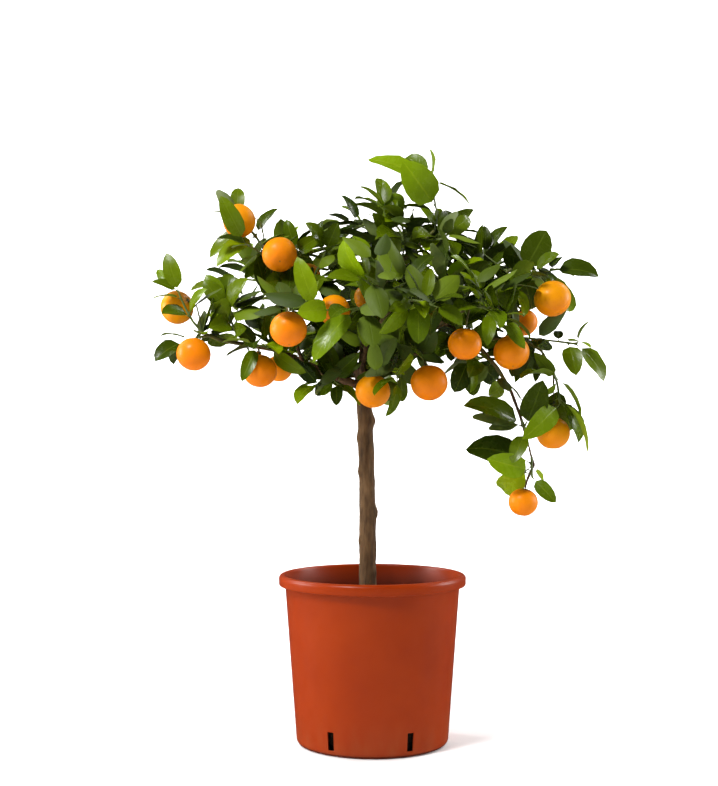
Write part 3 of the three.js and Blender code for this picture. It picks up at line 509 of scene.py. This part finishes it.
# Each knot: its share of the trunk's height, the way it faces in degrees, its spread, its height
KNOTS = (
    (0.885, 0, 0.0048, 0.0030), (0.838, 180, 0.0050, 0.0028), (0.745, 190, 0.0042, 0.0022),
    (0.69, -60, 0.0042, 0.0022), (0.632, 0, 0.0052, 0.0030), (0.52, 120, 0.0040, 0.0020),
    (0.555, 200, 0.0038, 0.0016), (0.47, -40, 0.0036, 0.0016),
)

raw_wood = merged_copy("trunk_and_limbs")
raw_mesh = bpy.data.meshes.new("raw_wood")
raw_wood.to_mesh(raw_mesh)
raw_wood.free()
wood = added("tree_wood", raw_mesh)
remesh = wood.modifiers.new("remesh", "REMESH")
remesh.mode = "VOXEL"
remesh.voxel_size = WOOD_VOXEL
evaluated = wood.evaluated_get(bpy.context.evaluated_depsgraph_get())
wood_shape = bmesh.new()
wood_shape.from_mesh(evaluated.to_mesh())
evaluated.to_mesh_clear()
wood.modifiers.clear()
for _ in range(SMOOTHINGS):
    bmesh.ops.smooth_vert(
        wood_shape, verts=wood_shape.verts, factor=0.5, use_axis_x=True, use_axis_y=True, use_axis_z=True
    )
wood_shape.normal_update()
youth = wood_shape.verts.layers.float.new("youth")
knot_places = []
for share, turn, spread, height in KNOTS:
    centre = Vector((STEM_X - UPPER_STEM_LEAN * (share > 0.75), 0, HEAD.z * share))
    outward = Vector((math.cos(math.radians(turn)), math.sin(math.radians(turn)), 0))
    knot_places.append((centre, outward, spread, height))
for vert in wood_shape.verts:
    place = vert.co.copy()
    on_trunk = clamped((HEAD.z + HEAD_TOP - place.z) / HEAD_BLEND)
    away = (place - HEAD).length
    vert[youth] = clamped((away - OLD_LIMB) / YOUNG_BLEND) * (1 - on_trunk)
    upright = Vector((place.x * 150, place.y * 150, place.z * 34))
    along = noise.fractal(upright, 0.8, 2.1, 4)
    ridges = noise.noise(place * 420) * BARK_RIDGES
    swell = noise.noise(place * 38) * BARK_SWELL
    lift = (BARK_FURROWS * along + swell) * on_trunk + ridges * (1 - vert[youth]) + 0.0001 * along
    for centre, outward, spread, height in knot_places:
        offset = place - (centre + outward * STEM_RADIUS)
        offset.z *= 0.7
        lift += height * math.exp(-((offset.length / spread) ** 2))
    vert.co += vert.normal * (lift + BARK_SKIN)

BARK_CRACK = (0.042, 0.022, 0.009)
BARK_RIDGE = (0.175, 0.098, 0.042)
DARK_PATCH = (0.62, 0.6, 0.58)
LIGHT_PATCH = (1.15, 1.1, 1.0)
YOUNG_BARK = (0.085, 0.10, 0.02)
PALER_YOUNG_BARK = (0.15, 0.17, 0.035)
OLD_BARK_ROUGHNESS = 0.88
YOUNG_BARK_ROUGHNESS = 0.55

bark, tree, shader = new_material("bark", Specular_IOR_Level=0.3)
old_bark = mottled(tree, BARK_CRACK, BARK_RIDGE, 150, (1, 1, 0.22), 7)
bark_patches = mottled(tree, DARK_PATCH, LIGHT_PATCH, 26, (1, 1, 0.6), 4)
worn_bark = mixed(tree, 1.0, old_bark.outputs["Color"], bark_patches.outputs["Color"], "MULTIPLY")
young_bark = mottled(tree, YOUNG_BARK, PALER_YOUNG_BARK, 90, (1, 1, 1), 4)
wood_youth = attribute(tree, "youth")
bark_color = mixed(tree, wood_youth, worn_bark, young_bark.outputs["Color"])
tree.links.new(bark_color, shader.inputs["Base Color"])
bark_roughness = ranged(tree, wood_youth, 0, 1, OLD_BARK_ROUGHNESS, YOUNG_BARK_ROUGHNESS)
tree.links.new(bark_roughness, shader.inputs["Roughness"])
raised(tree, shader, grain(tree, 330, (1, 1, 0.16), 8), 0.0006, 0.7)
wood.data = finished_mesh("tree_wood", wood_shape, bark)
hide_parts("trunk_and_limbs")
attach(wood, "root")


# ---------------------------------------------------------------- the fruit
# Small ripe oranges: round, slightly flat from stalk to tip, with furrows round the stalk and a
# small scar at the tip. The peel is waxy and finely pored. Each hangs by its calyx from its stalk.
FRUIT_HEIGHT = 0.95
FRUIT_DIMPLE = 0.0016
DIMPLE_SPREAD = 0.27
FURROWS = 9
FURROW_DEPTH = 0.30
TIP_DIMPLE = 0.0006
TIP_SPREAD = 0.16
UNEVENNESS = 0.016
CALYX_CORNERS = 10
CALYX_RADIUS = 0.0034
CALYX_NOTCH = 0.62
CALYX_THICKNESS = 0.0006
ORANGE_PEEL = (0.88, 0.305, 0.0004)
GOLDEN_PEEL = (0.95, 0.40, 0.0005)
RIPEST_PEEL = (0.88, 0.235, 0.0004)
# A deeper orange for the lower half of each fruit: partly the peel's own colour, partly painted shade
DEEP_PEEL_AND_SHADE = (0.78, 0.155, 0.0004)
GREENISH_PEEL = (0.62, 0.30, 0.012)
BROWN_SCAR = (0.30, 0.12, 0.02)
PORE_ORANGE = (0.60, 0.12, 0.001)
fruit_nodes = sorted(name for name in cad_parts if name.startswith("fruit_"))

peel, tree, shader = new_material("peel", Specular_IOR_Level=0.16, Coat_Weight=0.03, Coat_Roughness=0.22)
from_stalk = attribute(tree, "from_stalk")
peel_tone = mottled(tree, ORANGE_PEEL, GOLDEN_PEEL, 45, (1, 1, 1), 3)
layered_peel = mixed(tree, attribute(tree, "ripeness"), peel_tone.outputs["Color"], RIPEST_PEEL)
# The lower half darkens towards the tip: partly deeper peel, partly painted shade
lower_peel_and_shade = ranged(tree, from_stalk, 0.35, 0.9, 0.0, 0.55)
layered_peel = mixed(tree, lower_peel_and_shade, layered_peel, DEEP_PEEL_AND_SHADE)
stalk_end = ranged(tree, from_stalk, 0.0, 0.12, 0.5, 0.0)
peel_color = mixed(tree, stalk_end, layered_peel, GREENISH_PEEL)
tip_scar = ranged(tree, from_stalk, 0.972, 0.995, 0.0, 0.8)
peel_color = mixed(tree, tip_scar, peel_color, BROWN_SCAR)
pores = shader_node(tree, "ShaderNodeTexVoronoi", {"Vector": object_place(tree), "Scale": 820.0})
pore_pits = ranged(tree, pores.outputs["Distance"], 0.0, 0.42)
pore_color = mixed(tree, ranged(tree, pore_pits, 0, 1, 0.38, 0.0), peel_color, PORE_ORANGE)
tree.links.new(pore_color, shader.inputs["Base Color"])
tree.links.new(ranged(tree, peel_tone.outputs["Grain"], 0, 1, 0.30, 0.42), shader.inputs["Roughness"])
raised(tree, shader, pore_pits, 0.0003, 0.75)

CALYX_GREEN = (0.09, 0.12, 0.02)
CALYX_BROWN = (0.16, 0.15, 0.05)
calyx_green, tree, shader = new_material("calyx_green", Roughness=0.7)
calyx_tone = mottled(tree, CALYX_GREEN, CALYX_BROWN, 400, (1, 1, 1), 4)
tree.links.new(calyx_tone.outputs["Color"], shader.inputs["Base Color"])

calyx_shape = bmesh.new()
fruit_places = []
for number, node in enumerate(fruit_nodes):
    solid = merged_copy(node)
    poles = sorted(solid.verts, key=lambda vert: -len(vert.link_edges))[:2]
    middle = sum((vert.co for vert in solid.verts if vert not in poles), Vector()) / (len(solid.verts) - 2)
    stalk_pole, tip_pole = sorted(poles, key=lambda vert: (vert.co - middle).length)
    upward = (stalk_pole.co - tip_pole.co).normalized()
    radius = max((vert.co - middle).length for vert in solid.verts)
    solid.free()
    fruit_places.append((middle, radius))

    fruit_shape = bmesh.new()
    bmesh.ops.create_uvsphere(fruit_shape, u_segments=36, v_segments=22, radius=1)
    ripe_layer = fruit_shape.verts.layers.float.new("ripeness")
    stalk_layer = fruit_shape.verts.layers.float.new("from_stalk")
    chance = random.Random(100 + number)
    ripe = chance.random()
    furrow_turn = chance.uniform(0, math.tau)
    drift = Vector((number * 1.7, number * 0.9, 0))
    for vert in fruit_shape.verts:
        way = vert.co.normalized()
        fall = math.acos(max(-1, min(1, way.z)))
        turn = math.atan2(way.y, way.x)
        vert[ripe_layer] = ripe
        vert[stalk_layer] = fall / math.pi
        uneven = 1 + UNEVENNESS * noise.noise(way * 1.4 + drift)
        puckers = 1 + FURROW_DEPTH * math.cos(FURROWS * turn + furrow_turn)
        dip = FRUIT_DIMPLE * puckers * math.exp(-((fall / DIMPLE_SPREAD) ** 2))
        tip_dip = TIP_DIMPLE * math.exp(-(((math.pi - fall) / TIP_SPREAD) ** 2))
        body = way * radius * uneven
        body.z = body.z * FRUIT_HEIGHT - dip + tip_dip
        vert.co = body
    leaning = Vector((0, 0, 1)).rotation_difference(upward).to_matrix().to_4x4()
    pose = Matrix.Translation(middle) @ leaning
    bmesh.ops.transform(fruit_shape, matrix=pose, verts=fruit_shape.verts)
    fruit_name = f"orange_{number + 1:02d}"
    fruit = added(fruit_name, finished_mesh(fruit_name, fruit_shape, peel))
    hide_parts(node)
    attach(fruit, "root")

    star = bmesh.ops.create_circle(
        calyx_shape, cap_ends=True, segments=CALYX_CORNERS, radius=CALYX_RADIUS
    )["verts"]
    for index, vert in enumerate(star):
        vert.co *= CALYX_NOTCH if index % 2 else chance.uniform(0.9, 1.1)
        vert.co.z = 0.0002 if index % 2 else 0.0009
    star_face = star[0].link_faces[0]
    top = verts_in(bmesh.ops.extrude_face_region(calyx_shape, geom=[star_face])["geom"])
    bmesh.ops.translate(calyx_shape, vec=(0, 0, CALYX_THICKNESS), verts=top)
    bmesh.ops.scale(calyx_shape, vec=(0.8, 0.8, 1), verts=top)
    seat = Matrix.Translation((0, 0, radius * FRUIT_HEIGHT - FRUIT_DIMPLE))
    bmesh.ops.transform(calyx_shape, matrix=pose @ seat, verts=star + top)
bmesh.ops.recalc_face_normals(calyx_shape, faces=calyx_shape.faces)
calyxes = added("calyxes", finished_mesh("calyxes", calyx_shape, calyx_green, 50))
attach(calyxes, "root")


# ---------------------------------------------------------------- the leafy shoots
# Each shoot is a slim green twig with glossy leaves on short petioles. A blade is oval with a
# pointed tip, folded a little along its midrib and waved at its edge; young blades are lighter.
# Every leaf stands where the shoot's solid has it, and is read from that solid's rings of corners.
# Smaller leaves then fill the heart of the crown.
PETIOLE_SHARE = 0.16
RING_SHARES = (PETIOLE_SHARE, 0.42, 0.74, 1.0)
OLD_KEEL = 0.0016
KEEL_LOST_BY_YOUTH = 0.0007
BLADE_THICKNESS = 0.00045
NARROWEST = 0.0004
FOLD_CURVE = 1.4
CURL_START = 0.7
CURL_SPAN = 0.09
BASE_ROUNDNESS = 0.5
TIP_ROUNDNESS = 0.7
OUTLINE_PEAK = 0.4426
ACROSS = 4
ALONG = 6


def ring_behind(ring, seen):
    behind = {edge.other_vert(vert) for vert in ring for edge in vert.link_edges} - set(ring) - seen
    return behind if len(behind) == 3 else None


def is_ring(verts):
    return all(
        any(edge.other_vert(one) is other for edge in one.link_edges)
        for one in verts for other in verts if one is not other
    )


def corners_of(ring):
    """A ring's two blade edges and its keel: the keel is opposite the longest side."""
    a, b, c = ring
    turned = ((a, b, c), (b, c, a), (c, a, b))
    return max(turned, key=lambda three: (three[0].co - three[1].co).length)


def leaves_on(solid):
    found = []
    for tip in solid.verts:
        if len(tip.link_edges) != 3:
            continue
        shoulder = {edge.other_vert(tip) for edge in tip.link_edges}
        if not is_ring(shoulder):
            continue
        widest = ring_behind(shoulder, {tip})
        if not widest or not is_ring(widest):
            continue
        petiole = ring_behind(widest, shoulder)
        if not petiole or not is_ring(petiole):
            continue
        found.append((petiole, widest, shoulder, tip))
    return found


class Leaf:
    """One leaf: four points of its midrib, its greatest half width, its side and its youth."""

    def __init__(self, midrib, half_width, side, youth, chance):
        self.midrib = midrib
        self.half_width = half_width
        self.side = side
        self.youth = youth
        self.length = sum((b - a).length for a, b in zip(midrib, midrib[1:]))
        self.fold = chance.uniform(0.10, 0.34)
        self.wave = chance.uniform(0.02, 0.09)
        self.waves = chance.uniform(1.2, 2.4)
        self.phase = chance.uniform(0, math.tau)
        self.curl = chance.uniform(0.0, 0.07) * self.length
        self.hue = chance.random()

    def midrib_at(self, share):
        place = Vector()
        for index, known in enumerate(RING_SHARES):
            weight = 1.0
            for other in RING_SHARES:
                if other != known:
                    weight *= (share - other) / (known - other)
            place += self.midrib[index] * weight
        return place


def leaf_from_rings(petiole, widest, shoulder, tip, chance):
    rings = [corners_of(ring) for ring in (petiole, widest, shoulder)]
    midrib = [(left.co + right.co) / 2 for left, right, _ in rings] + [tip.co.copy()]
    left, right, keel = rings[1]
    below = midrib[1] - keel.co
    youth = clamped((OLD_KEEL - below.length) / KEEL_LOST_BY_YOUTH)
    side = (left.co - right.co).normalized()
    if side.cross(midrib[2] - midrib[0]).dot(below) < 0:
        side.negate()
    return Leaf(midrib, (left.co - right.co).length / 2, side, youth, chance)


def outline(share):
    """Half width of a blade along its length, 1 at its widest."""
    return (share ** BASE_ROUNDNESS) * ((1 - share) ** TIP_ROUNDNESS) / OUTLINE_PEAK


def add_blade(shape, leaf):
    youth_layer = shape.verts.layers.float["youth"]
    hue_layer = shape.verts.layers.float["hue"]
    uv_layer = shape.loops.layers.uv["blade"]
    blade_verts = []
    for is_under in (False, True):
        grid = bmesh.ops.create_grid(shape, x_segments=ACROSS, y_segments=ALONG, size=0.5)["verts"]
        faces = list({face for vert in grid for face in vert.link_faces})
        for face in faces:
            for loop in face.loops:
                across, up_blade = loop.vert.co.x + 0.5, loop.vert.co.y + 0.5
                loop[uv_layer].uv = (across + 2 * is_under, up_blade)
        if is_under:
            bmesh.ops.reverse_faces(shape, faces=faces)
        for vert in grid:
            u = vert.co.x * 2
            t = vert.co.y + 0.5
            v = (t + 0.5 - 0.5 * math.cos(math.pi * t)) / 2
            share = PETIOLE_SHARE + (1 - PETIOLE_SHARE) * v
            centre = leaf.midrib_at(share)
            tangent = (leaf.midrib_at(share + 0.01) - leaf.midrib_at(share - 0.01)).normalized()
            upward = leaf.side.cross(tangent).normalized()
            half = leaf.half_width * outline(v) + NARROWEST * (1 - v)
            rise = leaf.fold * half * abs(u) ** FOLD_CURVE
            rise += leaf.wave * half * u * u * math.sin(
                leaf.waves * math.tau * v + leaf.phase + (1.3 if u > 0 else 0)
            )
            rise -= leaf.curl * max(0.0, v - CURL_START) ** 2 / CURL_SPAN
            ends = min(1.0, 10 * v) * min(1.0, 10 * (1 - v))
            depth = BLADE_THICKNESS * (1 - abs(u)) * ends if is_under else 0.0
            vert.co = centre + leaf.side * (u * half) + upward * (rise - depth)
            vert[youth_layer] = leaf.youth
            vert[hue_layer] = leaf.hue
        blade_verts += grid
    bmesh.ops.remove_doubles(shape, verts=blade_verts, dist=1e-6)


def blades_shape():
    shape = bmesh.new()
    shape.verts.layers.float.new("youth")
    shape.verts.layers.float.new("hue")
    shape.loops.layers.uv.new("blade")
    return shape


# The leaf blade: waxy, darker when old, with a pale midrib and faint side veins, matte beneath
OLD_LEAF = (0.013, 0.029, 0.0008)
PALER_OLD_LEAF = (0.040, 0.064, 0.0012)
YOUNG_LEAF = (0.17, 0.27, 0.002)
PALER_YOUNG_LEAF = (0.25, 0.36, 0.003)
OLD_VEIN = (0.09, 0.13, 0.008)
YOUNG_VEIN = (0.28, 0.38, 0.01)
OLD_UNDERSIDE = (0.040, 0.066, 0.005)
YOUNG_UNDERSIDE = (0.20, 0.29, 0.006)
TWIG_GREEN = (0.075, 0.115, 0.018)
PALER_TWIG = (0.14, 0.18, 0.03)
SIDE_VEINS = 9.0
VEIN_SLANT = -5.0
RIB_DEPTH = -1.0
VEIN_DEPTH = -0.35
UNDERSIDE_ROUGHER = 0.3

blade, tree, shader = new_material("leaf_blade", Specular_IOR_Level=0.2)
blade_uv = shader_node(tree, "ShaderNodeUVMap", uv_map="blade").outputs["UV"]
blade_place = shader_node(tree, "ShaderNodeSeparateXYZ", {"Vector": blade_uv})
is_under = calculated(tree, "GREATER_THAN", blade_place.outputs["X"], 1.5)
across = calculated(tree, "PINGPONG", blade_place.outputs["X"], 1.0)
from_rib = calculated(tree, "ABSOLUTE", calculated(tree, "SUBTRACT", across, 0.5))
rib = ranged(tree, from_rib, 0.012, 0.04, 1.0, 0.0)
vein_run = calculated(tree, "MULTIPLY_ADD", from_rib, VEIN_SLANT, 0.0)
vein_step = calculated(tree, "MULTIPLY_ADD", blade_place.outputs["Y"], SIDE_VEINS, vein_run)
vein = ranged(tree, calculated(tree, "PINGPONG", vein_step, 0.5), 0.0, 0.11, 1.0, 0.0)
leaf_age = attribute(tree, "youth")
leaf_hue = attribute(tree, "hue")
old_green = mixed(tree, leaf_hue, OLD_LEAF, PALER_OLD_LEAF)
young_green = mixed(tree, leaf_hue, YOUNG_LEAF, PALER_YOUNG_LEAF)
green = mixed(tree, ranged(tree, leaf_age, 0.0, 1.0, 0.0, 1.0, False), old_green, young_green)
blade_tone = mottled(tree, (0.90, 0.90, 0.90), (1.1, 1.1, 1.1), 70, (1, 1, 1), 3)
green = mixed(tree, 1.0, green, blade_tone.outputs["Color"], "MULTIPLY")
vein_green = mixed(tree, leaf_age, OLD_VEIN, YOUNG_VEIN)
green = mixed(tree, ranged(tree, vein, 0, 1, 0.0, 0.10), green, vein_green)
green = mixed(tree, ranged(tree, rib, 0, 1, 0.0, 0.55), green, vein_green)
beneath = mixed(tree, leaf_age, OLD_UNDERSIDE, YOUNG_UNDERSIDE)
tree.links.new(mixed(tree, is_under, green, beneath), shader.inputs["Base Color"])
gloss = ranged(tree, blade_tone.outputs["Grain"], 0, 1, 0.20, 0.32)
blade_roughness = calculated(tree, "MULTIPLY_ADD", is_under, UNDERSIDE_ROUGHER, gloss)
tree.links.new(blade_roughness, shader.inputs["Roughness"])
rib_height = calculated(tree, "MULTIPLY_ADD", rib, RIB_DEPTH, 0.0)
vein_height = calculated(tree, "MULTIPLY_ADD", vein, VEIN_DEPTH, rib_height)
raised(tree, shader, vein_height, 0.00025, 0.6)

twig_green, tree, shader = new_material("twig_green", Roughness=0.5, Specular_IOR_Level=0.4)
twig_tone = mottled(tree, TWIG_GREEN, PALER_TWIG, 110, (1, 1, 1), 4)
tree.links.new(twig_tone.outputs["Color"], shader.inputs["Base Color"])
raised(tree, shader, grain(tree, 700, (1, 1, 1), 3), 0.0002, 0.4)
class Taken:
    """A space that something fills, to test whether a leaf would cut through it."""

    def __init__(self, shape):
        self.tree = BVHTree.FromBMesh(shape)
        self.low = Vector([min(vert.co[axis] for vert in shape.verts) for axis in range(3)])
        self.high = Vector([max(vert.co[axis] for vert in shape.verts) for axis in range(3)])

    def meets(self, other):
        if any(
            self.high[axis] < other.low[axis] or other.high[axis] < self.low[axis] for axis in range(3)
        ):
            return False
        return bool(self.tree.overlap(other.tree))


def space_of(leaf):
    shape = blades_shape()
    add_blade(shape, leaf)
    space = Taken(shape)
    shape.free()
    return space


# First the leaves that the solids hold
shoots = []
taken = [Taken(merged_copy("trunk_and_limbs"))]
for number, node in enumerate(sorted(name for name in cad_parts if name.startswith("shoot_"))):
    solid = merged_copy(node)
    found = leaves_on(solid)
    chance = random.Random(300 + number)
    leaves = [leaf_from_rings(*rings, chance) for rings in found]
    outer = [vert for _, widest, shoulder, tip in found for vert in (*widest, *shoulder, tip)]
    bmesh.ops.delete(solid, geom=outer, context="VERTS")
    bmesh.ops.holes_fill(solid, edges=[edge for edge in solid.edges if edge.is_boundary])
    bmesh.ops.recalc_face_normals(solid, faces=solid.faces)
    taken += [space_of(leaf) for leaf in leaves]
    taken.append(Taken(solid))
    shoots.append((node, solid, leaves))

# Then smaller leaves in the heart of the crown, on the same twigs and on the limbs between them.
# They keep out of each other's way, and leave the fruit at the front and at the back in view.
HEART = Vector((0.025, 0.005, 0.488))
FULL_PARTS = (
    (HEART, Vector((0.195, 0.19, 0.108))),
    (Vector((0.135, -0.03, 0.415)), Vector((0.055, 0.06, 0.045))),
    (Vector((-0.13, -0.02, 0.47)), Vector((0.08, 0.07, 0.055))),
)
HEART_LEAVES_A_TWIG = 9
HEART_LEAVES_ON_LIMBS = 175
TRIES_A_LEAF = 10
LEAST_BARK = 2e-6
PETIOLE_RADIUS = 0.0007
PETIOLE_STRETCH = 1.12
PETIOLE_SHIFT = 0.06
FRONT_FRUIT = 0.06
BACK_FRUIT = 0.1
FAR_FROM_FRUIT = 0.16
SHOWN_WHOLE = 0.85
SHOWN_HALF = 0.5


def in_heart(place):
    return any(
        sum(((place[axis] - centre[axis]) / reach[axis]) ** 2 for axis in range(3)) < 1
        for centre, reach in FULL_PARTS
    )


def hides_fruit(space):
    for centre, radius in fruit_places:
        if (centre - (space.low + space.high) / 2).length > FAR_FROM_FRUIT:
            continue
        reach = radius * (SHOWN_WHOLE if centre.y < 0 or centre.y > BACK_FRUIT else SHOWN_HALF)
        beside = space.high.x < centre.x - reach or space.low.x > centre.x + reach
        above = space.high.z < centre.z - reach or space.low.z > centre.z + reach
        is_before = centre.y < FRONT_FRUIT and space.low.y < centre.y
        is_behind = centre.y > BACK_FRUIT and space.high.y > centre.y
        if not beside and not above and (is_before or is_behind):
            return True
        nearest = Vector([
            max(space.low[axis], min(space.high[axis], centre[axis])) for axis in range(3)
        ])
        if (nearest - centre).length < radius:
            return True
    return False


def heart_leaf(base, normal, chance):
    """A leaf from a place on the bark, and the foot of its petiole."""
    wander = Vector([chance.uniform(-1, 1) for _ in range(3)])
    direction = (normal * 0.9 + wander * 0.8 + Vector((0, 0, 0.35))).normalized()
    length = chance.uniform(0.036, 0.054)
    outward = (base - HEART).normalized()
    face = Vector((0, 0, 1)) + outward * 0.7 + wander.cross(direction) * 0.5
    upward = (face - direction * face.dot(direction)).normalized()
    foot = base - normal * 0.0006
    arch = chance.uniform(0.04, 0.14) * length
    midrib = [
        foot + direction * length * share + upward * 4 * arch * share * (1 - share)
        for share in RING_SHARES
    ]
    half_width = length * chance.uniform(0.20, 0.26)
    youth = 0.7 * chance.random() ** 2
    side = upward.cross(direction).normalized()
    return Leaf(midrib, half_width, side, youth, chance), foot


def add_petiole(shape, foot, end):
    along = end - foot
    stem = bmesh.ops.create_cone(
        shape, cap_ends=True, segments=4, radius1=PETIOLE_RADIUS, radius2=PETIOLE_RADIUS * 0.7,
        depth=along.length * PETIOLE_STRETCH,
    )["verts"]
    middle = Matrix.Translation((foot + end) / 2 + along * PETIOLE_SHIFT)
    pose = middle @ along.to_track_quat("Z", "Y").to_matrix().to_4x4()
    bmesh.ops.transform(shape, matrix=pose, verts=stem)


def grow_heart_leaves(spots, count, stems, chance):
    grown = []
    for _ in range(count * TRIES_A_LEAF if spots else 0):
        base, normal = chance.choice(spots)
        leaf, foot = heart_leaf(base, normal, chance)
        if not in_heart(leaf.midrib[-1]):
            continue
        space = space_of(leaf)
        if hides_fruit(space) or any(space.meets(other) for other in taken):
            continue
        taken.append(space)
        grown.append(leaf)
        add_petiole(stems, foot, leaf.midrib[0])
        if len(grown) == count:
            break
    return grown


def bark_spots(shape):
    shape.faces.ensure_lookup_table()
    return [
        (face.calc_center_median(), face.normal.copy()) for face in shape.faces
        if in_heart(face.calc_center_median()) and face.calc_area() > LEAST_BARK
    ]


def finish_shoot(name, leaves, stems, nodes):
    blade_shape = blades_shape()
    for leaf in leaves:
        add_blade(blade_shape, leaf)
    leaves_name = name.replace("shoot", "leaves")
    twig_name = name.replace("shoot", "twig")
    blades = added(leaves_name, finished_mesh(leaves_name, blade_shape, blade, 80))
    twig = added(twig_name, finished_mesh(twig_name, stems, twig_green))
    rounded = twig.modifiers.new("rounded", "SUBSURF")
    rounded.levels = 2
    rounded.render_levels = 2
    for piece in (blades, twig):
        if nodes:
            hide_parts(*nodes)
        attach(piece, "root")


chance = random.Random(77)
for node, solid, leaves in shoots:
    more = grow_heart_leaves(bark_spots(solid), HEART_LEAVES_A_TWIG, solid, chance)
    finish_shoot(node, leaves + more, solid, [node])
limb_stems = bmesh.new()
limb_shape = merged_copy("trunk_and_limbs")
on_limbs = grow_heart_leaves(bark_spots(limb_shape), HEART_LEAVES_ON_LIMBS, limb_stems, chance)
limb_shape.free()
finish_shoot("shoot_limb_spurs", on_limbs, limb_stems, [])
